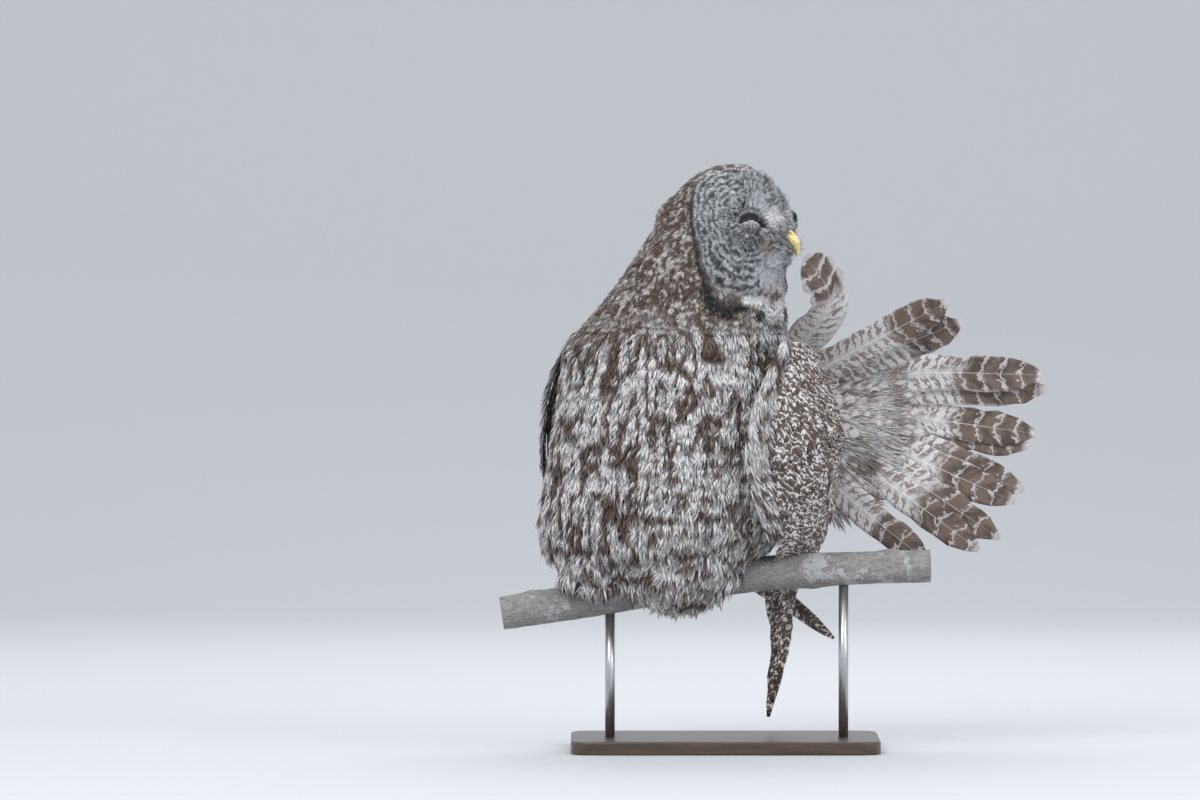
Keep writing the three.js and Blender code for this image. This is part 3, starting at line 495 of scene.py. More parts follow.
def face_pattern(points, colour):
    """The grey disc with its fine dark rings, black rim and pale marks, on both sides alike."""
    off = disc_offset(points)
    local = in_face(points)
    ahead = ramp(unit(local)[:, 0], -0.35, -0.15)
    wobble = noise(points, 0.007, 11) - 0.5
    rings = 0.5 + 0.5 * np.cos(2 * math.pi * (off * 12 + wobble))
    broken = noise(points, 0.0022, 12)
    disc = mixed(RING_DARK, RING_PALE, ramp(rings * 0.48 + broken * 0.62, 0.30, 0.84))
    colour = mixed(colour, disc, (1 - ramp(off, 0.93, 0.98)) * head_share(points) * ahead)
    low_side = ramp(-local[:, 2], -0.03, 0.03)
    near = np.linalg.norm(local, axis=1)
    rim = np.exp(-(((off - 1.0) / (0.030 + 0.016 * low_side)) ** 2)) * ahead * (near < 0.13)
    rim = rim * ramp(1 - unit(local)[:, 2], 0.15, 0.7) * ramp(np.abs(local[:, 1]), 0.018, 0.034)
    speckle = ramp(noise(points, 0.003, 13), 0.58, 0.66) * ramp(off, 0.99, 1.05) * low_side
    colour = mixed(colour, mixed(BLACK, CREAM, speckle), rim)
    sideways = np.abs(local[:, 1]) * 1000
    upward = local[:, 2] * 1000
    fringe = (noise(points, (0.003, 0.003, 0.009), 14) - 0.5) * 1.3
    for across, height, wide, tall, mark, strength in FACE_MARKS:
        gap = ((sideways - across) / wide) ** 2 + ((upward - height) / tall) ** 2
        share = (1 - ramp(gap + fringe, 0.35, 1.1)) * strength * (near < 0.165) * (local[:, 0] > 0.02)
        colour = mixed(colour, mark, share)
    return colour


def plumage(points, vary):
    """The colour of the body's plumage at each point. vary shifts the pattern a little."""
    head = head_share(points)
    height = points[:, 2] + 0.03 * (noise(points, (0.02, 0.02, 0.03), 20) - 0.5)
    hood = np.maximum(ramp(height, 0.470, 0.530), head)
    aft = ramp(points[:, 1], 0.02, 0.10)
    # Breast and belly: pale blotches between winding brown streaks, and wavy bars across the belly.
    vein = np.abs(2 * noise(points, (0.0110, 0.0110, 0.032), 21) - 1)
    ragged = noise(points, (0.0055, 0.0055, 0.0085), 22)
    broad = noise(points, (0.030, 0.030, 0.060), 23)
    light = ramp(vein, 0.0, 0.42) * 0.50 + ragged * 0.50 + broad * 0.16 + 0.03 * vary - 0.09
    wave = np.sin(2 * math.pi * (points[:, 2] / 0.0165 + 1.6 * broad + 0.3 * ragged))
    barred = ramp(0.420 - height, 0, 0.10) * (1 - aft) * ramp(points[:, 0], -0.15, -0.07)
    light = light + 0.07 * barred + 0.30 * wave * barred - 0.05 * aft - 0.09 * ramp(height, 0.430, 0.500)
    body = mixed(BROWN, PALE, ramp(light, 0.37, 0.62))
    # Back: darker, with smaller pale flecks.
    flecks = ramp(noise(points, (0.0065, 0.0065, 0.009), 24) + 0.08 * vary, 0.52, 0.72)
    colour = mixed(body, mixed(BROWN * 0.85, PALE * 0.8, flecks), aft)
    # Hood and nape: brown with close small pale flecks, greyer and larger towards the throat.
    fine = noise(points, (0.0034, 0.0034, 0.0040), 25)
    coarse = noise(points, (0.0065, 0.0065, 0.0085), 26)
    below = ramp(0.62 - height, 0, 0.12)
    throat = ramp(points[:, 0], -0.05, 0.06) * ramp(-points[:, 1], -0.02, 0.06) * below
    spots = fine * (0.8 - 0.3 * below) + coarse * (0.2 + 0.3 * below) + 0.03 * vary + 0.10 * throat
    nape = mixed(HOOD_BROWN, FLECK, ramp(spots, 0.50, 0.66))
    nape = mixed(nape, PALE * 0.8, 0.35 * throat)
    colour = mixed(colour, nape, hood)
    # Rump and vent: soft pale grey down.
    down = ramp(points[:, 0], 0.06, 0.12) * ramp(points[:, 1], 0.05, 0.08)
    vent = SOFT_GREY * (0.95 + 0.9 * (noise(points, 0.016, 27)[:, None] - 0.4))
    return face_pattern(points, mixed(colour, vent, down))


skin_mesh = bpy.data.meshes.new("skin")
bm.to_mesh(skin_mesh)
bm.free()
hide = Finish("hide", roughness=0.95)
mottle = hide.noise(hide.place(), 380.0, 3.0)
hide.set("Base Color", hide.blend(mottle.step(0.3, 0.7) * 0.35, hide.attribute("tint"), (0.03, 0.025, 0.022)))
hide.bump(mottle, 0.5, 0.0015)
skin = piece_of("skin", skin_mesh, hide, "breast_feathers", FLESH)
skin_points = read(skin_mesh.vertices, "co", 3)
# The skin takes the plumage's colours darkened to three quarters, as painted shade deep in the coat between
# the locks.
dye(skin_mesh, plumage(skin_points, np.zeros(len(skin_points))) * 0.75)
smooth(skin_mesh)
skin_mesh.uv_layers.new(name="OFBake")
bpy.context.view_layer.objects.active = skin
skin.select_set(True)
bpy.ops.object.mode_set(mode="EDIT")
bpy.ops.mesh.select_all(action="SELECT")
bpy.ops.uv.smart_project(angle_limit=math.radians(66), island_margin=0.002)
bpy.ops.object.mode_set(mode="OBJECT")

# Body plumage. Soft contour feathers of keratin grow from the skin in overlapping rows and lie down
# the body. Each tuft is one lock of a feather's barbs, and locks fan out from their feather's shaft.
rng = np.random.default_rng(20)
triangles = read(skin_mesh.polygons, "vertices", 3, np.int32)
skin_uv = read(skin_mesh.uv_layers["OFBake"].data, "uv", 2).reshape(-1, 3, 2)
vertex_normal = read(skin_mesh.vertices, "normal", 3)
corner = skin_points[triangles]
face_cross = np.cross(corner[:, 1] - corner[:, 0], corner[:, 2] - corner[:, 0])
face_area = np.linalg.norm(face_cross, axis=1) / 2


def scatter(weight, number):
    """Random places on the skin: points, normals and places on its unwrap."""
    chance = face_area * weight
    picked = rng.choice(len(triangles), size=number, p=chance / chance.sum())
    a, b = rng.random((2, number, 1))
    flip = a + b > 1
    a = np.where(flip, 1 - a, a)
    b = np.where(flip, 1 - b, b)
    weights = np.concatenate([1 - a - b, a, b], axis=1)
    where = (corner[picked] * weights[..., None]).sum(axis=1)
    normal = unit((vertex_normal[triangles[picked]] * weights[..., None]).sum(axis=1))
    uv = (skin_uv[picked] * weights[..., None]).sum(axis=1)
    return where, normal, uv


def along_skin(way, normals):
    """The given ways, laid flat on the surface."""
    return unit(way - (way * normals).sum(axis=1, keepdims=True) * normals)


def lie_of(points, normals):
    """The way that feathers lie: down the body, away from the eyes on the face, back along the rump."""
    head = head_share(points)[:, None]
    way = np.zeros_like(points)
    way[:, 2] = -1
    way[:, 0] = -0.10
    way = way + 0.35 * normals * np.array((1, 1, 0))
    rear = (ramp(points[:, 0], 0.02, 0.08) * ramp(points[:, 1], 0.04, 0.09))[:, None]
    way = way * (1 - rear) + np.array((1.0, 0.0, -0.12)) * rear
    local = in_face(points)
    eye = np.array((math.cos(EYE_OUT), math.sin(EYE_OUT), math.tan(EYE_UP))) * 0.07
    eyes = np.stack([np.full(len(points), eye[0]), np.sign(local[:, 1]) * eye[1],
                     np.full(len(points), eye[2])], axis=1)
    radial = unit(local - eyes) @ FACE_AXES
    backward = -0.75 * face_forward + np.array((0, 0, -0.55))
    inside = (1 - ramp(disc_offset(points), 0.95, 1.1))[:, None] * (local[:, :1] > -0.02)
    crown = backward * (1 - inside) + radial * inside
    return along_skin(unit(way) * (1 - head) + unit(crown) * head, normals)


def built_mesh(name, verts, loops, starts, **unwraps):
    """A smooth mesh from its points, its faces' points in one run, and where in it each face starts."""
    mesh = bpy.data.meshes.new(name)
    mesh.vertices.add(len(verts))
    mesh.vertices.foreach_set("co", verts.ravel())
    mesh.loops.add(len(loops))
    mesh.loops.foreach_set("vertex_index", loops.astype(np.int32))
    mesh.polygons.add(len(starts))
    mesh.polygons.foreach_set("loop_start", starts.astype(np.int32))
    mesh.update(calc_edges=True)
    smooth(mesh)
    for layer, places in unwraps.items():
        mesh.uv_layers.new(name=layer).data.foreach_set("uv", places.astype(np.float32).ravel())
    return mesh


# A lock has a three-sided root, a bend and a point, so seven points in all.
LOCK_FACES = np.array((0, 1, 2, 0, 3, 4, 1, 1, 4, 5, 2, 2, 5, 3, 0, 3, 6, 4, 4, 6, 5, 5, 6, 3))
LOCK_FACE_SIZES = np.array((3, 4, 4, 4, 3, 3, 3))
LOCK_UV = np.array(((0, 0), (1, 0), (0.5, 0.2), (0, 0.5), (1, 0.5), (0.5, 0.6), (0.5, 1))) - 0.5
LOCK_PATCH = 0.003
LOCK_THICK = 0.22
ROOT_SINK = 0.0012
LOCK_FAN = 0.75
LOCK_STRAY = 0.09
# Painted shade at a lock's root, under the locks that lap over it, and painted light at its exposed point.
ROOT_PAINTED_SHADE = 0.55
POINT_PAINTED_LIGHT = 1.1


def tuft_mesh(name, root, normal, way, length, width, lift, curl, tint, uv):
    """Closed tapering locks, tinted at bend and point, with painted shade at the root and painted light at
    the point.
    """
    number = len(root)
    side = unit(np.cross(way, normal))
    lift, curl = lift[:, None], curl[:, None]
    length, width = length[:, None], width[:, None]
    first = unit(way * np.cos(lift) + normal * np.sin(lift))
    second = unit(way * np.cos(lift - curl) + normal * np.sin(lift - curl))
    over = unit(np.cross(side, first))
    foot = root - normal * ROOT_SINK
    knee = foot + first * length * 0.5
    verts = np.empty((number, 7, 3))
    for base, centre, share in ((0, foot, 0.85), (3, knee, 1.0)):
        verts[:, base] = centre - side * width * 0.5 * share
        verts[:, base + 1] = centre + side * width * 0.5 * share
        verts[:, base + 2] = centre + over * width * LOCK_THICK * share
    verts[:, 6] = knee + second * length * 0.5
    loops = (LOCK_FACES + 7 * np.arange(number)[:, None]).ravel()
    sizes = np.tile(LOCK_FACE_SIZES, number)
    patch = uv[:, None, :] + LOCK_UV * LOCK_PATCH
    starts = np.cumsum(sizes) - sizes
    mesh = built_mesh(name, verts.reshape(-1, 3), loops, starts, OFBake=patch[:, LOCK_FACES])
    colour = np.repeat(tint[:, :1], 7, axis=1)
    # The root is darkened as painted shade, and the point is brightened a little as painted light.
    colour[:, :3] *= ROOT_PAINTED_SHADE
    colour[:, 6] = np.minimum(POINT_PAINTED_LIGHT * tint[:, 1], 1)
    dye(mesh, colour.reshape(-1, 3))
    return mesh


CELLS_AROUND = [(a - 1, b - 1, c - 1) for a, b, c in np.ndindex(3, 3, 3)]


def thin(points, spacing):
    """Keeps points no closer than the spacing, in their order."""
    kept = []
    cells = {}
    for i, p in enumerate(points):
        x, y, z = np.floor(p / spacing).astype(int).tolist()
        around = (cells.get((x + a, y + b, z + c), ()) for a, b, c in CELLS_AROUND)
        if all(np.dot(p - points[j], p - points[j]) > spacing * spacing for group in around for j in group):
            kept.append(i)
            cells.setdefault((x, y, z), []).append(i)
    return np.array(kept)


def nearest(sites, points):
    tree = KDTree(len(sites))
    for i, p in enumerate(sites):
        tree.insert(p, i)
    tree.balance()
    return np.array([tree.find(p)[1] for p in points])


barbs = Finish("soft_barbs", roughness=0.85)
strands = barbs.noise(barbs.place(), 900.0, 2.0)
strand_shade = (strands.step(0.35, 0.65) - 0.5) * 0.3 + 0.15
barbs.set("Base Color", barbs.blend(strand_shade, barbs.attribute("tint"), (0.05, 0.043, 0.04)))
centres = corner.mean(axis=1)
centres_in_face = in_face(centres)
face_head = head_share(centres)
face_disc = face_head * (disc_offset(centres) < 1.12) * (centres_in_face[:, 0] > -0.03) > 0.5
face_hood = (np.maximum(ramp(centres[:, 2], 0.48, 0.53), face_head) > 0.5) & ~face_disc
face_rear = (centres[:, 0] > 0.045) & (centres[:, 1] > 0.06) & ~face_hood & ~face_disc
face_low = (centres[:, 2] < 0.32) & ~face_rear
face_body = ~face_hood & ~face_disc & ~face_rear & ~face_low
# Shares of a lock's length at which the plumage's pattern gives its two tints.
TINT_STOPS = (0.5, 0.92)


def lock_tints(root, way, length, vary):
    """The tints of locks at their bend and point."""
    return np.stack([plumage(root + way * (length * k)[:, None], vary) for k in TINT_STOPS], axis=1)


def grow(name, where, number, parts, spacing, long_, wide, rise, curl, slot, way_of=lie_of):
    """Grows a field of locks in whole feathers that stand the given spacing apart."""
    root, normal, uv = scatter(where.astype(float), number)
    way = way_of(root, normal)
    sites = root[thin(root[: number // 3], spacing)]
    home = sites[nearest(sites, root + way * spacing * 0.2)]
    off = root - home
    side = unit(np.cross(way, normal))
    lateral = (off * side).sum(axis=1) / spacing
    lengthwise = (off * way).sum(axis=1) / spacing
    cell = np.round(home * 1e5).astype(np.int64)
    vary = 2 * hashed(cell, 31) - 1 + 0.8 * (np.abs(lateral) - 0.25)
    tilt = (hashed(cell, 32) - 0.5) * 0.5
    fan = (LOCK_FAN * lateral + tilt)[:, None]
    way = unit(way + side * fan + rng.normal(0, LOCK_STRAY, (number, 3)))
    way = along_skin(way, normal)
    length = long_ * rng.uniform(0.75, 1.2, number)
    width = wide * rng.uniform(0.75, 1.25, number)
    lift = np.radians(rise) * (1 + 0.5 * lengthwise + rng.normal(0, 0.12, number))
    bend = np.radians(curl + rng.normal(0, 5, number))
    shade = rng.uniform(0.86, 1.14, (number, 1, 1))
    tints = lock_tints(root, way, length, vary) * shade
    locks = (root, normal, way, length, width, lift, bend, tints, uv)
    for k, chosen in enumerate(np.array_split(np.argsort(root[:, 2]), parts), 1):
        mesh = tuft_mesh(f"{name}_{k}", *(values[chosen] for values in locks))
        piece_of(mesh.name, mesh, barbs, slot)


def to_bill(points, normals):
    """The lie of the bristles round the bill: inwards over its base, and down."""
    return along_skin(unit(from_face(np.array((86, 0, -30)) / 1000) - points), normals)


def face_patch(ahead, beside, low, high):
    """A patch in the middle of the face: how far ahead it starts, its half width, foot and top."""
    x, y, z = centres_in_face.T
    return (x > ahead) & (np.abs(y) < beside) & (z > low) & (z < high)


def middle_of(name):
    low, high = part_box(name)
    return (np.array(low) + np.array(high)) / 2


def ruff(name):
    """The ring of skin round an eye."""
    from_eye = np.linalg.norm(centres - middle_of(name), axis=1)
    return (from_eye < 0.026) & (from_eye > 0.0145)


# Each field: where it grows, locks, pieces, spacing of feathers, lock length, width, lift, curl and
# slot, and the bristles' own lie.
FIELDS = (
    ("face_plumage", face_disc, 31000, 2, 0.004, 0.0062, 0.0012, 24, 8, "face_feathers"),
    ("hood_plumage", face_hood, 33000, 2, 0.007, 0.0105, 0.0020, 27, 22, "hood_feathers"),
    ("breast_plumage", face_body, 24000, 2, 0.013, 0.021, 0.0030, 26, 26, "breast_feathers"),
    ("belly_plumage", face_low, 15000, 1, 0.014, 0.025, 0.0030, 30, 26, "breast_feathers"),
    ("rump_plumage", face_rear, 4500, 1, 0.014, 0.026, 0.0030, 26, 20, "breast_feathers"),
    ("bristles", face_patch(0.045, 0.024, -0.052, 0.014), 3000, 1, 0.004, 0.0165, 0.0010, 40, 18,
     "face_feathers", to_bill),
    ("brow_plumes", face_patch(0.030, 0.034, 0.006, 0.060), 2600, 1, 0.004, 0.0125, 0.0013, 34, 8,
     "face_feathers"),
    ("eye_right_ruff", ruff("eye_right"), 900, 1, 0.004, 0.0125, 0.0013, 52, 22, "face_feathers"),
    ("eye_left_ruff", ruff("eye_left"), 900, 1, 0.004, 0.0125, 0.0013, 52, 22, "face_feathers"),
)
for field in FIELDS:
    grow(*field)

# Flight feathers of the wings. Stiff vanes of barbs either side of a horny shaft, in tiers: primaries
# and secondaries below, coverts over them. Each wing is folded and hangs beside the body.
VANE_ROWS = 22
VANE_COLUMNS = 9
# Shafts are ranked this much above their vanes, so that a finish can tell them apart.
SHAFT_RANK = 10


class VaneBatch:
    """Collects feathers as thin closed vanes with their shafts, and makes one mesh of them."""

    def __init__(self, name, total):
        self.name = name
        self.cells = math.ceil(math.sqrt(total))
        self.shapes = []
        self.points = 0
        self.count = 0

    def add(self, at, length, half, profile, rank, fray, shaft, thick=0.35):
        """at(along, across, lift) takes arrays. Widths and sizes are in mm."""
        rows, columns = VANE_ROWS, VANE_COLUMNS
        along = np.linspace(0, 1, rows)[:, None] ** 0.92
        spread = np.linspace(-1, 1, columns)[None]
        ragged = 1 - fray * 2 * np.abs(rng.normal(0, 1, (rows, 2))) * (along > 0.15)
        breadth = half * np.where(spread < 0, ragged[:, :1], ragged[:, 1:]) * profile(along)
        across = spread * breadth
        # Barbs sweep towards the tip, so the edge lies further along than the shaft.
        sweep = along + 0.32 * np.abs(across) / length * ramp(1 - along, 0.0, 0.12)
        sweep = np.clip(sweep, 0, 1)
        slack = 0.35 * rng.normal(0, 1, (rows, columns)) * np.abs(spread) ** 2
        edge = thick * (1 - 0.6 * np.abs(spread)) * np.ones((rows, 1))
        both = [at(sweep, across, lift + slack).reshape(-1, 3) for lift in (edge / 2, -edge / 2)]
        grid = np.arange(rows * columns).reshape(rows, columns)
        upper = np.stack([grid[:-1, :-1], grid[:-1, 1:], grid[1:, 1:], grid[1:, :-1]], axis=-1).reshape(-1, 4)
        lower = upper[:, ::-1] + rows * columns
        border = np.concatenate([grid[0, :-1], grid[:-1, -1], grid[-1, :0:-1], grid[:0:-1, 0]])
        following = np.roll(border, -1)
        walls = np.stack([following, border, border + rows * columns, following + rows * columns], axis=-1)
        far = np.broadcast_to(along, across.shape).ravel()
        place = np.column_stack([across.ravel() / 100 + 0.5, far])
        tile = np.column_stack([np.tile((spread[0] + 1) / 2, rows), far])
        cell = np.array(divmod(self.count, self.cells)) / self.cells
        halves = [cell + (tile * (0.46, 0.94) + (shift, 0.03)) / self.cells for shift in (0.02, 0.52)]
        self.take(np.concatenate(both), np.concatenate([upper, lower, walls]), np.tile(place, (2, 1)),
                  np.concatenate(halves), rank, length)
        self.quill(at, shaft, length, rank, cell)
        self.count += 1

    def quill(self, at, shaft, length, rank, cell):
        """The four-sided shaft, which tapers from the root nearly to the tip."""
        along = np.linspace(0, 0.985, VANE_ROWS)
        size = shaft * (1 - 0.85 * along)
        level = np.zeros(VANE_ROWS)
        edges = ((-size * 0.5, level), (level, size * 0.75), (size * 0.5, level), (level, -size * 0.75))
        points = np.stack([at(along, across, lift) for across, lift in edges], axis=1).reshape(-1, 3)
        grid = np.arange(VANE_ROWS * 4).reshape(VANE_ROWS, 4)
        turned = np.roll(grid, -1, axis=1)
        sides = np.stack([grid[:-1], turned[:-1], turned[1:], grid[1:]], axis=-1).reshape(-1, 4)
        faces = np.concatenate([sides, [grid[0, ::-1], grid[-1]]])
        far = np.repeat(along, 4)
        strip = np.column_stack([np.full(len(far), 0.99), far])
        place = np.column_stack([np.full(len(far), 0.5), far])
        self.take(points, faces, place, cell + strip / self.cells, rank + SHAFT_RANK, length)

    def take(self, points, faces, vane, bake, rank, length):
        """Adds one closed shape, with its places on the vane and on the unwrap."""
        marks = (np.full(len(points), value) for value in (rank, length))
        self.shapes.append((points, faces + self.points, vane, bake, *marks))
        self.points += len(points)

    def mesh(self):
        verts, faces, vane, bake, rank, span = (np.concatenate(part) for part in zip(*self.shapes))
        loops = faces.ravel()
        starts = np.arange(0, len(loops), 4)
        mesh = built_mesh(self.name, verts, loops, starts, Vane=vane[loops], OFBake=bake[loops])
        for name, values in (("rank", rank), ("span", span)):
            layer = mesh.attributes.new(name, "FLOAT", "POINT")
            layer.data.foreach_set("value", values.astype(np.float32))
        return mesh


def full_vane(along):
    """Breadth of a flight feather along its length: narrow quill, even vane, rounded point."""
    point = np.sqrt(np.clip(1 - ramp(along, 0.78, 1.02) ** 1.6, 0.004, 1))
    return (0.12 + 0.88 * ramp(along, 0.0, 0.3)) * point


def covert_vane(along):
    """Breadth of a covert: short and broad, with a round end."""
    point = np.sqrt(np.clip(1 - ramp(along, 0.6, 1.02) ** 1.5, 0.004, 1))
    return (0.35 + 0.65 * ramp(along, 0.0, 0.4)) * point


LEFT_WING = (1, (
    ((80, -46, 484), 30, 36, 130), ((93, -64, 422), 38, 74, 142), ((100, -70, 360), 41, 87, 150),
    ((100, -50, 300), 37, 76, 150), ((94, -8, 244), 46, 48, 160), ((69, 30, 192), 58, 29, 220),
    ((70, 48, 120), 68, 20, 260), ((56, 62, 34), 70, 9, 300),
))
RIGHT_WING = (-1, (
    ((-158, 80, 482), 212, 36, 120), ((-176, 90, 420), 216, 66, 135), ((-168, 110, 360), 226, 78, 140),
    ((-128, 136, 306), 246, 68, 140), ((-70, 149, 266), 268, 46, 160), ((-2, 146, 228), 280, 32, 220),
    ((66, 124, 184), 288, 24, 260), ((136, 98, 130), 290, 12, 300),
))


def wing_sheet(wing):
    """Places on a folded wing: across from front to rear edge, along from shoulder to tip, and lift."""
    turned, line = wing
    centres = [entry[0] for entry in line]
    shapes = [entry[1:] for entry in line]
    length = np.linalg.norm(np.diff(catmull(centres, np.linspace(0, 1, 80)), axis=0), axis=1).sum()

    def sheet(across, along, lift):
        along = np.clip(along, 0, 1)
        centre = catmull(centres, along)
        shape = catmull(shapes, along)
        turn = np.radians(shape[..., 0])
        out = np.stack([np.cos(turn), -np.sin(turn), np.zeros_like(turn)], axis=-1)
        before, after = np.maximum(0, along - 0.01), np.minimum(1, along + 0.01)
        run = unit(catmull(centres, after) - catmull(centres, before))
        rear = unit(np.cross(out, run) * turned)
        face = unit(np.cross(run, rear) * turned)
        bend = shape[..., 2]
        swing = across * shape[..., 1] / bend
        reach = (bend + lift)[..., None]
        spot = centre + rear * reach * np.sin(swing)[..., None]
        spot = spot + face * (reach * np.cos(swing)[..., None] - bend[..., None])
        return spot / 1000

    return sheet, length, lambda along: catmull(shapes, along)[..., 1]


# The tiers, each with its feathers, roots and tips at its two ends, half breadth, heights and tilt.
TIERS = (
    ("primary", 10, ((-0.5, 0.36), (0.4, 0.34)), ((-0.1, 1.0), (0.6, 0.74)), 12, (-6, 3), 0.0),
    ("secondary", 12, ((-0.62, 0.2), (0.6, 0.16)), ((-0.8, 0.66), (0.92, 0.56)), 13, (6.5, 6.8), 0.12),
    ("tertial", 3, ((0.42, 0.12), (0.7, 0.08)), ((0.62, 0.5), (0.98, 0.43)), 14, (10.5, 11), 0.1),
    ("greater", 12, ((-0.66, 0.14), (0.5, 0.1)), ((-0.88, 0.45), (0.62, 0.36)), 10, (10.8, 11), 0.12),
    ("median", 12, ((-0.62, 0.08), (0.6, 0.04)), ((-0.86, 0.34), (0.74, 0.26)), 9.5, (13.4, 13.6), 0.12),
    ("lesser", 12, ((-0.6, 0.02), (0.6, 0.0)), ((-0.84, 0.25), (0.72, 0.18)), 9.5, (15.4, 15.6), 0.12),
    ("marginal", 9, ((-0.5, -0.03), (0.5, -0.05)), ((-0.7, 0.16), (0.62, 0.11)), 9.5, (16.6, 16.8), 0.12),
)
FLIGHT_TIERS = ("primary", "secondary", "tertial")
FLANK_LOCKS = 1200
FLANK_ROOT_LIFT = 15.5
FLANK_END_LIFT = 16.5
WING_DARK = (0.050, 0.033, 0.026)
WING_MID = (0.135, 0.095, 0.078)
WING_PALE = (0.66, 0.63, 0.62)
SHAFT_BROWN = (0.10, 0.075, 0.06)


def vane_place(finish, size, lean, shift, turn, *grain):
    """A vane's own measures: share along, mm along, mm from the shaft, rank, and scribbles of noise.

    size sets the scribbles' scale and lean how far they follow the barbs. shift and turn part the
    pattern of one feather from the next one's.
    """
    parts = finish.node("SeparateXYZ", Vector=finish.node("UVMap", {"uv_map": "Vane"}))
    across = (parts - 0.5) * 100
    along = Socket(finish.tree, parts.link.node.outputs[1])
    rank = finish.attribute("rank", "Fac")
    down = along * finish.attribute("span", "Fac")
    beside = across.maths("ABSOLUTE")
    x = across * size + rank * shift
    y = down * size - beside * lean
    order = finish.node("CombineXYZ", X=x, Y=y, Z=rank * turn)
    return along, down, beside, rank, order, finish.noise(order, *grain)


def dress_vane(finish, colour, shaft_colour, down, beside, rank, scribble):
    """Sets the vane's colour and the shaft's, and raises the barbs beside the shaft."""
    shaft = (rank - (SHAFT_RANK - 0.5)).step(0, 0.2)
    finish.set("Base Color", finish.blend(shaft, colour, shaft_colour))
    finish.bump(((down * 5 - beside * 4).maths("SINE") * 0.5 + scribble) * (1 - shaft), 0.3, 0.0005)


def part_way(ends, part):
    """What lies at a share of the way between two ends."""
    first, last = np.array(ends, float)
    return first + (last - first) * part


def loose_locks(name, root, normal, way, length, widths, lifts, curls, tint, uv, slot):
    """One piece of locks whose widths, lifts and curls are drawn evenly between two ends."""
    width = rng.uniform(*widths, len(root))
    lift = np.radians(rng.uniform(*lifts, len(root)))
    curl = np.radians(rng.uniform(*curls, len(root)))
    piece_of(name, tuft_mesh(name, root, normal, way, length, width, lift, curl, tint, uv), barbs, slot)


# White scribbled waves and flecks cross the brown vanes, broken up by plain patches.
plumes = Finish("wing_vanes", roughness=0.62)
along, down, beside, rank, order, scribble = vane_place(plumes, 0.17, 0.06, 37, 13, 1.1, 2.0, 0.5)
clumps = plumes.noise(order, 0.45, 2.0)
waves = (down * 0.72 + scribble * 16 - beside * 0.25 + rank * 40).maths("SINE")
plain = (clumps - 0.5) * 1.7 - along.step(0.6, 0.85) * 0.15
flecks = (waves * 0.5 + plain).step(0.06, 0.38)
ground = plumes.blend((scribble * 0.5 + clumps * 0.5).step(0.38, 0.62), WING_DARK, WING_MID)
dress_vane(plumes, plumes.blend(flecks, ground, WING_PALE), SHAFT_BROWN, down, beside, rank, scribble)
for side, wing in (("left", LEFT_WING), ("right", RIGHT_WING)):
    sheet, length, half_at = wing_sheet(wing)
    batch = VaneBatch("wing_" + side + "_feathers", sum(tier[1] for tier in TIERS))
    for kind, number, roots, tips, half, lifts, tilt in TIERS:
        for i in range(number):
            part = i / (number - 1)
            root = part_way(roots, part)
            tip = part_way(tips, part)
            stray = rng.uniform(-0.012, 0.004)
            tip[1] = min(1.0, tip[1] + (stray if kind != "primary" else 0))
            height = part_way(lifts, part) + rng.uniform(-0.25, 0.25)

            def at(along, across, lift):
                u, v = (first + (last - first) * along for first, last in zip(root, tip))
                broad = half_at(np.clip(v, 0, 1))
                run = np.stack([(tip[0] - root[0]) * broad, np.full_like(broad, (tip[1] - root[1]) * length)])
                run = run / np.linalg.norm(run, axis=0)
                u, v = u + across * run[1] / broad, v - across * run[0] / length
                return sheet(u, v, height + lift + tilt * across)

            profile, shaft = (full_vane, 1.1) if kind in FLIGHT_TIERS else (covert_vane, 0.5)
            batch.add(at, (tip[1] - root[1]) * length, half, profile, rng.random(), 0.08, shaft)
    piece_of(batch.name, batch.mesh(), plumes, "wing_feathers", ["wing_" + side])
    # Soft flank feathers of the breast lap over the front edge of the wing and hide it.
    down_wing = rng.uniform(-0.02, 0.44, FLANK_LOCKS)
    front = rng.uniform(-1.10, -0.86, FLANK_LOCKS) + 0.20 * (0.25 - down_wing).clip(0)
    start = np.clip(down_wing, 0, 1)
    root = sheet(front, start, FLANK_ROOT_LIFT + rng.uniform(0, 2, FLANK_LOCKS))
    end_lift = np.full(FLANK_LOCKS, FLANK_END_LIFT)
    ahead = sheet(front + 0.06, np.clip(down_wing + 0.05, 0, 1), end_lift)
    normal = unit(sheet(front, start, np.full(FLANK_LOCKS, 20.0)) - root)
    way = along_skin(unit(ahead - root + rng.normal(0, 0.004, (FLANK_LOCKS, 3))), normal)
    reach = rng.uniform(0.016, 0.028, FLANK_LOCKS)
    tints = lock_tints(root, way, reach, np.zeros(FLANK_LOCKS))
    uv = np.column_stack([(front + 1.2) / 0.7, down_wing + 0.03]) * 0.9 + 0.05
    loose_locks("flank_plumage_" + side, root, normal, way, reach, (0.0022, 0.0034), (6, 24), (8, 30),
                tints, uv, "breast_feathers")

# Tail. Twelve rectrices, the long flight feathers of the tail, fan from the rump with their undersides
# to the viewer, and the outermost one bends up to the bill. Soft coverts overlap their bases.
TAIL_ROOT = (52, 112, 408)
RECTRICES = (
    (((88, 78, 478), (126, 22, 538)), (96, -28, 594), 29, 0.5),
    (((140, 74, 468),), (266, -18, 538), 22, 0.3),
    (((150, 88, 458),), (284, 6, 514), 23, 0.25),
    (((215, 104, 448),), (386, 84, 448), 23, 0.1),
    (((215, 111, 432),), (390, 98, 430), 23, 0.05),
    (((210, 117, 398),), (379, 108, 376), 22, 0.0),
    (((210, 120, 390),), (370, 112, 361), 22, 0.0),
    (((200, 116, 370),), (363, 110, 307), 22, 0.0),
    (((196, 112, 360),), (352, 104, 294), 22, -0.05),
    (((186, 107, 345),), (334, 98, 250), 21, -0.1),
    (((178, 102, 330),), (308, 90, 236), 21, -0.15),
    (((150, 96, 300),), (246, 78, 222), 20, -0.2),
)
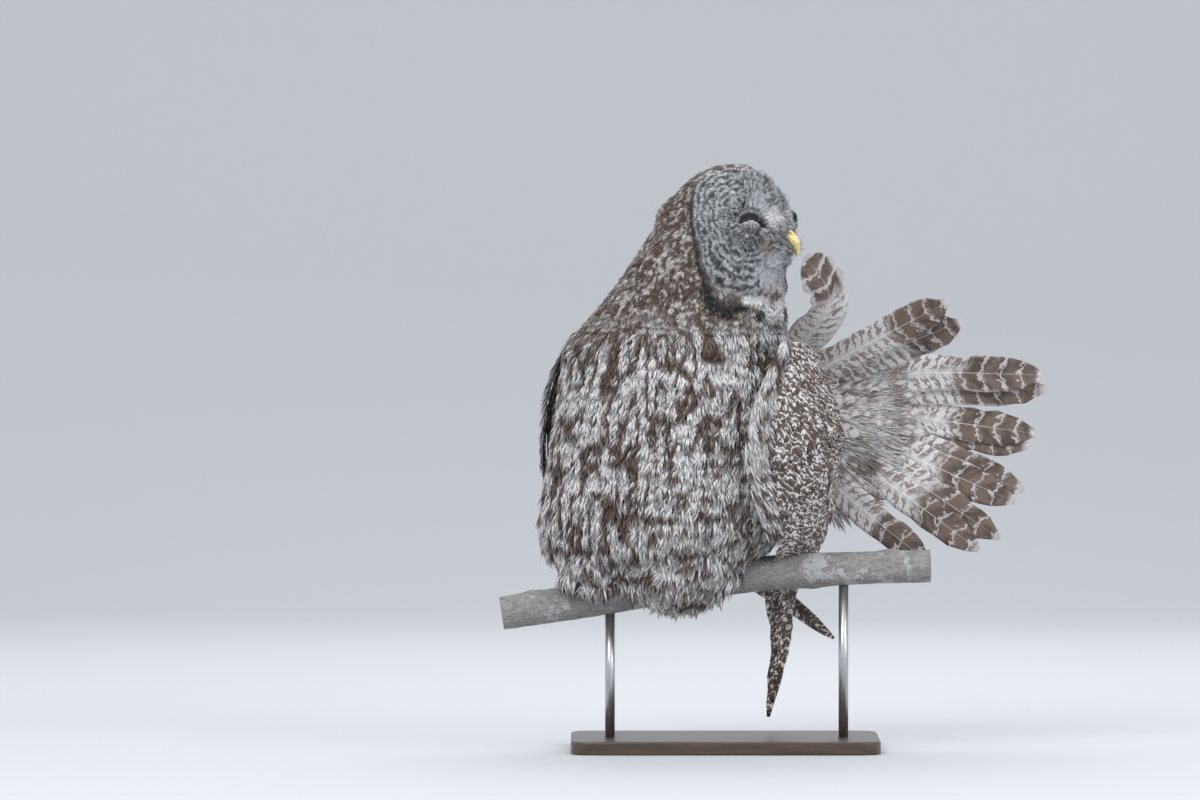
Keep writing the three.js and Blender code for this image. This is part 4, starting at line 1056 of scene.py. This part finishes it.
# Coverts under and over the tail: side, feathers, fan angles, start, reach, half breadth and depths.
TAIL_COVERTS = (
    (-1, 12, 26, -52, 60, 186, 10, (4, 10, 9)), (-1, 11, 28, -56, 48, 150, 10, (8, 16, 13)),
    (-1, 9, 26, -56, 36, 118, 10, (13, 23, 18)),
    (1, 13, 28, -58, 50, 166, 11, (4, 15, 14)), (1, 12, 26, -56, 36, 126, 11, (10, 24, 20)),
    (1, 10, 24, -54, 24, 90, 11, (16, 32, 27)),
)
TAIL_GROUND = (0.66, 0.63, 0.63)
TAIL_BROWN = (0.150, 0.107, 0.086)
TAIL_DEEP = (0.068, 0.046, 0.036)
SHAFT_WHITE = (0.88, 0.86, 0.82)


def shaft_line(points, face):
    """Places on a feather with a bent shaft, turned by face to one side, and its length."""
    fine = catmull(points, np.linspace(0, 1, 160))
    gone = np.concatenate([[0], np.cumsum(np.linalg.norm(np.diff(fine, axis=0), axis=1))])
    length = gone[-1]
    gone = gone / length

    def where(along):
        return np.stack([np.interp(along, gone, fine[:, k]) for k in range(3)], axis=-1)

    def at(along, across, lift):
        ahead = unit(where(np.minimum(1, along + 0.02)) - where(np.maximum(0, along - 0.02)))
        side = unit(np.cross((face, -1.0, 0.0), ahead))
        out = unit(np.cross(ahead, side))
        return (where(along) + side * across[..., None] + out * lift[..., None]) / 1000

    return at, length


# The webs are pale with broken wavy bars towards the edges. The last third is brown with pale bars.
webs = Finish("tail_vanes", roughness=0.6)
along, down, beside, rank, order, scribble = vane_place(webs, 0.10, 0.03, 51, 9, 1.5, 3.0, 0.6)
cloud = webs.noise(order, 0.5, 2.0)
waves = (down * 0.50 + scribble * 15 - beside * 0.08 + rank * 30).maths("SINE")
tip_waves = (down * 0.26 + scribble * 7.0 - beside * 0.03 + rank * 30).maths("SINE")
tip_zone = (along + (cloud - 0.5) * 0.16).step(0.64, 0.72)
to_edge = (beside + scribble * 4).step(2, 10)
base_bars = (waves * 0.5 + cloud * 0.9).step(0.30, 0.80) * (to_edge * 0.75 + 0.2)
base_colour = webs.blend(base_bars * 0.85, TAIL_GROUND, TAIL_BROWN)
tip_ground = webs.blend(cloud.step(0.35, 0.6), TAIL_DEEP, TAIL_BROWN)
tip_bars = (tip_waves + (scribble - 0.5) * 0.8).step(0.72, 1.0)
tip_colour = webs.blend(tip_bars * 0.65, tip_ground, TAIL_GROUND)
web_colour = webs.blend(tip_zone, base_colour, tip_colour)
web_colour = webs.blend((along + scribble * 0.03).step(0.975, 1.01) * 0.7, web_colour, TAIL_GROUND)
lacy = (beside + scribble * 9 - 4.5).step(18, 23) * 0.6
web_colour = webs.blend(lacy, web_colour, TAIL_GROUND)
dress_vane(webs, web_colour, SHAFT_WHITE, down, beside, rank, scribble)
batch = VaneBatch("tail_feathers", len(RECTRICES))
for index, (bend, tip, half, face) in enumerate(RECTRICES):
    root = np.array(TAIL_ROOT) + (0, (index % 2) * 1.6 - 0.8, 14 - 2.6 * index)
    at, length = shaft_line([root, *bend, tip], face)
    batch.add(at, length, half, full_vane, rng.random(), fray=0.05, shaft=2.2, thick=0.5)
TAIL_NODES = ("tail_upper", "tail_middle", "tail_lower")
piece_of(batch.name, batch.mesh(), webs, "tail_feathers", TAIL_NODES)

SOFT_PALE = (0.60, 0.57, 0.56)
SOFT_BROWN = (0.19, 0.145, 0.125)
soft_vanes = Finish("tail_covert_vanes", roughness=0.75)
_, down, beside, rank, _, scribble = vane_place(soft_vanes, 0.12, 0.08, 73, 7, 1.3, 3.0, 0.6)
waves = (down * 0.40 + scribble * 6.0 - beside * 0.25 + rank * 30).maths("SINE")
soft_vanes.set("Base Color", soft_vanes.blend(waves.step(0.0, 0.9) * 0.6, SOFT_PALE, SOFT_BROWN))
soft_vanes.bump((down * 4 - beside * 4).maths("SINE") + scribble, 0.3, 0.0005)
batch = VaneBatch("tail_coverts", sum(tier[1] for tier in TAIL_COVERTS))
for side, number, first, last, start, reach, half, depths in TAIL_COVERTS:
    for i in range(number):
        angle = math.radians(first + (last - first) * i / (number - 1) + rng.uniform(-1.5, 1.5))
        far = reach * rng.uniform(0.9, 1.06)
        way = np.array((math.cos(angle), 0, math.sin(angle)))
        stops = [np.array(TAIL_ROOT) + way * d + (0, side * (depth + rng.uniform(-0.8, 0.8)), 0)
                 for d, depth in zip((start, (start + far) / 2, far), depths)]
        at, length = shaft_line(stops, 0.0)
        batch.add(at, length, half, covert_vane, rng.random(), fray=0.16, shaft=0.5)
piece_of(batch.name, batch.mesh(), soft_vanes, "tail_feathers")

# Down of the tail. Loose, soft barbs of the under tail coverts, which hide the shafts of the tail
# near the rump. Each lock lies outwards over the fan and is paler at its point.
DOWN_SIDES = (
    ("tail_down_under", -1, 150, 6400, (30, 25, 16, 8)), ("tail_down_over", 1, 120, 2600, (32, 28, 20, 6)),
)
DOWN_START = 6
DOWN_FAN = (math.radians(-60), math.radians(34))
DOWN_PALE = np.array((0.68, 0.65, 0.64))
DOWN_BROWN = np.array((0.25, 0.20, 0.18))
for name, side, reach, number, depths in DOWN_SIDES:
    far = DOWN_START + (reach - DOWN_START) * rng.random(number) ** 0.75
    angle = rng.uniform(*DOWN_FAN, number)
    way = np.stack([np.cos(angle), np.zeros(number), np.sin(angle)], axis=1)
    depth = np.interp(far, (0, 40, 90, 150), depths) * rng.uniform(0.75, 1.05, number)
    root = (np.array(TAIL_ROOT) + way * far[:, None]) / 1000
    root[:, 1] += side * depth / 1000
    normal = np.tile((0.0, float(side), 0.0), (number, 1))
    stray = rng.normal(0, 0.22, (number, 1))
    way = unit(way + stray * np.cross(way, normal))
    patch = noise(root, (0.012, 0.012, 0.009), 41) * 0.7 + noise(root, 0.004, 42) * 0.3
    colour = mixed(DOWN_BROWN, DOWN_PALE, ramp(patch, 0.32, 0.62))
    tints = np.stack([colour, np.minimum(colour * 1.2, 0.75)], axis=1)
    uv = np.stack([(root[:, 0] - 0.04) / 0.40 + 0.25 * (side + 1), (root[:, 2] - 0.24) / 0.34], axis=1)
    length = rng.uniform(0.020, 0.036, number)
    loose_locks(name, root, normal, way, length, (0.0013, 0.0028), (2, 15), (2, 16), tints,
                np.clip(uv, 0.01, 0.99), "tail_feathers")

# Bill. Two halves of smooth yellow horn over bone, the upper one hooked over the lower and shut on it.
# It grows from the middle of the face, and bristles cover its base.
UPPER_BILL = (
    (56, -12, 9, 8.5), (70, -12.5, 9, 8), (80, -17, 7.5, 6.5), (86.5, -25, 5.5, 4.4), (88, -33, 3.4, 2.5),
    (86.5, -40, 1, 0.8),
)
LOWER_BILL = ((56, -29, 4.5, 6.8), (68, -29.5, 4, 6.2), (76, -31.5, 3, 4.6), (81, -33.5, 1.1, 1.8))
HORN_YELLOW = (0.74, 0.56, 0.10)
HORN_PALE = (0.70, 0.62, 0.36)
horn = Finish("yellow_horn", roughness=0.34, coat_weight=0.15)
ridges = horn.noise(horn.place(scale=(1, 1, 3)), 120.0, 4.0)
horn.set("Base Color", horn.blend(ridges.step(0.38, 0.66), HORN_YELLOW, HORN_PALE))
horn.set("Roughness", ridges * 0.25 + 0.24)
horn.bump(ridges, 0.12, 0.0006)
turns = turns_of(28)
for name, shape in (("bill_upper", UPPER_BILL), ("bill_lower", LOWER_BILL)):
    share = np.linspace(0, 1, 26)
    middle = catmull([(f, 0, u) for f, u, _, _ in shape], share)
    sizes = catmull([(t, w, 0) for _, _, t, w in shape], share)
    ahead = unit(np.gradient(middle, axis=0))
    ridge = 1 - 0.25 * np.clip(np.sin(turns), 0, 1)
    rings = []
    for spot, size, way in zip(middle, sizes, ahead):
        ring = spot + (size[0] * np.sin(turns))[:, None] * np.array((-way[2], 0, way[0]))
        ring[:, 1] += size[1] * np.cos(turns) * ridge
        rings.append(from_face(ring / 1000))
    bm = bmesh.new()
    loft(bm, rings)
    smooth(new_piece(name + "_horn", bm, horn, "horn", [name]).data)

# Claws. Curved, tapering horn, black and glossy, one at the end of each feathered toe, hooked round
# the perch.
FEET = {"right": -96, "left": 0}
TOES = ((-15, 1, 1.5), (4, 1, 1.65), (19, 1, 1.35), (2, -1, 1.4))
CLAW_ROOT = 3.6
CLAW_TURN = 0.72
CLAW_GAP = 1.4
PERCH_THICKEST = 22.5
PERCH_GRIP = PERCH_THICKEST + CLAW_ROOT + CLAW_GAP
CLAW_STEPS = 14
CLAW_BLACK = (0.010, 0.009, 0.009)
CLAW_GREY = (0.035, 0.031, 0.030)
claw_horn = Finish("black_horn", roughness=0.3, coat_weight=0.3)
streaks = claw_horn.noise(claw_horn.place(), 300.0, 3.0)
claw_horn.set("Base Color", claw_horn.blend(streaks.step(0.3, 0.7), CLAW_BLACK, CLAW_GREY))
perch_fine = catmull(PERCH_LINE, np.linspace(0, 1, 400))
turns = turns_of(14)[:, None]
for side, foot in FEET.items():
    for number, (offset, way, reach) in enumerate(TOES, 1):
        angle = np.linspace(reach + 0.1, reach + 0.17 + CLAW_TURN, CLAW_STEPS)
        x = foot + offset * np.minimum(1, 0.35 + 0.65 * angle / reach)
        core = np.stack([np.interp(x, perch_fine[:, 0], perch_fine[:, k]) for k in (1, 2)], axis=-1)
        out = np.stack([-way * np.sin(angle), np.cos(angle)], axis=-1)
        line = np.column_stack([x, core + PERCH_GRIP * out])
        girth = CLAW_ROOT * (1 - np.linspace(0, 1, CLAW_STEPS) ** 1.4 * 0.93)
        ahead = unit(np.gradient(line, axis=0))
        sideways = unit(np.cross(ahead, (1, 0, 0)))
        rings = [
            (spot + g * (np.cos(turns) * np.array((0.8, 0, 0)) + np.sin(turns) * s)) / 1000
            for spot, g, s in zip(line, girth, sideways)
        ]
        bm = bmesh.new()
        loft(bm, rings)
        node = f"claw_{side}_{number}"
        smooth(new_piece(node + "_horn", bm, claw_horn, "claw_horn", [node]).data)

# Eyes and lids. The eyes are shut. Each ball is dark and wet under two soft grey lids that meet in a
# curved slit. Small feathers cover both lids, whitish below the slit. Above it, lids and feathers are
# black, which is painted shadow of the brow.
EYE_RADIUS = 0.013
LID_RADIUS = EYE_RADIUS + 0.0015
LID_HALF_WIDE = 0.0115
LID_LOCKS = 1100
LID_SHADES = (0.35, 0.9, 1.2)
eye_finish = Finish("eye", roughness=0.08, coat_weight=0.6)
eye_depth = eye_finish.noise(eye_finish.place(), 200.0)
eye_finish.set("Base Color", eye_finish.blend(eye_depth, (0.006, 0.005, 0.005), (0.02, 0.017, 0.014)))
lid_finish = Finish("lids", roughness=0.7)
creases = lid_finish.noise(lid_finish.place(), 420.0, 3.0)
crease_shade = creases.step(0.3, 0.7) * 0.4
lid_colour = lid_finish.blend(crease_shade, lid_finish.attribute("tint"), (0.06, 0.06, 0.065))
lid_finish.set("Base Color", lid_colour)
lid_finish.bump(creases, 0.6, 0.001)


def above_slit(x, y):
    """How far a place on the ball lies above the slit, which bows upwards in the middle."""
    return y + 0.0008 + 22 * x**2


def band(value, middle, half):
    """1 at the middle of a soft band, and near 0 beyond it."""
    return np.exp(-(((value - middle) / half) ** 2))


for name in ("eye_right", "eye_left"):
    centre = middle_of(name)
    bm = bmesh.new()
    bmesh.ops.create_uvsphere(bm, u_segments=40, v_segments=24, radius=EYE_RADIUS)
    bmesh.ops.translate(bm, verts=bm.verts, vec=Vector(centre))
    smooth(new_piece(name + "_ball", bm, eye_finish, "eye_glass", [name]).data)
    out = unit(centre - HEAD_AT)
    sideways = unit(np.cross(out, (0, 0, 1)))
    turning = np.array((sideways, np.cross(sideways, out), out))
    bm = bmesh.new()
    for lid in (1, -1):
        made = bmesh.ops.create_uvsphere(bm, u_segments=48, v_segments=30, radius=LID_RADIUS)
        shut = []
        for vert in made["verts"]:
            vert.co = (vert.co.x, vert.co.z, -vert.co.y)
            beyond = lid * above_slit(vert.co.x, vert.co.y)
            if beyond < 0.0002 or vert.co.z < -0.002:
                shut.append(vert)
            # The rim at the slit stands out, and a fold crosses each lid.
            rise = 0.0010 * band(beyond, 0, 0.0012) - 0.0012 * band(beyond, 0.0045, 0.0016)
            vert.co *= 1 + rise / EYE_RADIUS
        bmesh.ops.delete(bm, geom=shut, context="VERTS")
    bmesh.ops.solidify(bm, geom=bm.faces[:], thickness=0.0006)
    local = np.array([v.co for v in bm.verts])
    place = Matrix.Translation(centre) @ Matrix(turning.T.tolist()).to_4x4()
    bmesh.ops.transform(bm, verts=bm.verts, matrix=place)
    lids = new_piece(name.replace("eye", "lids"), bm, lid_finish, "face_feathers").data
    smooth(lids)
    beyond = above_slit(local[:, 0], local[:, 1])
    # The black band just above the slit is painted shadow of the brow over the shut eye.
    painted_brow_shadow = ramp(beyond, -0.0006, 0.0004) * (1 - ramp(beyond, 0.0045, 0.0070))
    dye(lids, mixed(mixed(RING_PALE * 0.5, RING_PALE, band(beyond, -0.0035, 0.0025)), BLACK, painted_brow_shadow))
    # Small feathers on the lids point away from the slit: whitish below it, and black above it as painted
    # shadow of the brow.
    spread = np.column_stack([rng.normal(0, 0.45, (LID_LOCKS, 2)), np.ones(LID_LOCKS)])
    on_lid = unit(spread) * LID_RADIUS
    beyond = above_slit(on_lid[:, 0], on_lid[:, 1])
    kept = (np.abs(beyond) > 0.0007) & (np.abs(on_lid[:, 0]) < LID_HALF_WIDE)
    on_lid, beyond = on_lid[kept], beyond[kept]
    number = len(on_lid)
    outward = unit(on_lid)
    away = np.column_stack([0.9 * on_lid[:, 0] / LID_HALF_WIDE, np.sign(beyond), np.zeros(number)])
    away = along_skin(away, outward)
    # Locks just above the slit are painted black as painted shadow of the brow.
    painted_brow_shadow_on_locks = ramp(beyond, -0.0004, 0.0004) * (1 - ramp(beyond, 0.0045, 0.0070))
    tint = mixed(mixed(RING_PALE * 0.6, WHITE * 0.8, band(beyond, -0.0028, 0.0022)), BLACK, painted_brow_shadow_on_locks)
    tint = np.minimum(tint * rng.choice(LID_SHADES, (number, 1)), 0.85)
    loose_locks(
        name.replace("eye", "lid_feathers"), centre + on_lid @ turning, outward @ turning, away @ turning,
        rng.uniform(0.0035, 0.0065, number), (0.0008, 0.0014), (8, 26), (0, 12),
        np.stack([tint, tint], axis=1), on_lid[:, :2] / 0.04 + 0.5, "face_feathers"
    )

# Studio. A plain pale floor that sweeps up behind, lit softly from above and both sides.
FLOOR_WIDE = 8.0
FLOOR_DEEP = 5.0
WALL_HIGH = 4.0
SWEEP_RADIUS = 1.8
bm = bmesh.new()
bmesh.ops.create_grid(bm, x_segments=1, y_segments=1, size=0.5)
bmesh.ops.scale(bm, verts=bm.verts, vec=(FLOOR_WIDE, 2 * FLOOR_DEEP, 1))
back_edge = [e for e in bm.edges if all(v.co.y > 1 for v in e.verts)]
raised = bmesh.ops.extrude_edge_only(bm, edges=back_edge)
wall_top = [v for v in raised["geom"] if isinstance(v, bmesh.types.BMVert)]
bmesh.ops.translate(bm, verts=wall_top, vec=(0, 0, WALL_HIGH))
foot = [e for e in bm.edges if all(abs(v.co.y - FLOOR_DEEP) < 1e-4 and abs(v.co.z) < 1e-4 for v in e.verts)]
round_off(bm, foot, SWEEP_RADIUS, 24)
floor_mesh = bpy.data.meshes.new("studio_floor")
bm.to_mesh(floor_mesh)
bm.free()
paper = Finish("pale_paper", roughness=0.9)
paper.set("Base Color", (0.55, 0.56, 0.58))
floor_mesh.materials.append(paper.material)
studio_floor = bpy.data.objects.new("studio_floor", floor_mesh)
bpy.context.collection.objects.link(studio_floor)
smooth(floor_mesh)
world = bpy.data.worlds.new("studio")
world.use_nodes = True
sky = world.node_tree.nodes["Background"]
sky.inputs["Color"].default_value = (0.88, 0.91, 0.96, 1)
sky.inputs["Strength"].default_value = 0.95
bpy.context.scene.world = world
bpy.context.scene.view_settings.view_transform = "Standard"
LAMPS = (((-1.6, -2.6, 2.8), 2.4, 74), ((2.4, -2.0, 1.8), 2.0, 34), ((0.3, 2.0, 2.6), 2.2, 44))
for number, (spot, size, power) in enumerate(LAMPS, 1):
    lamp_data = bpy.data.lights.new(f"soft_lamp_{number}", "AREA")
    lamp_data.size = size
    lamp_data.energy = power
    lamp = bpy.data.objects.new(lamp_data.name, lamp_data)
    lamp.location = spot
    lamp.rotation_euler = (Vector((0, 0, 0.4)) - Vector(spot)).to_track_quat("-Z", "Y").to_euler()
    bpy.context.collection.objects.link(lamp)
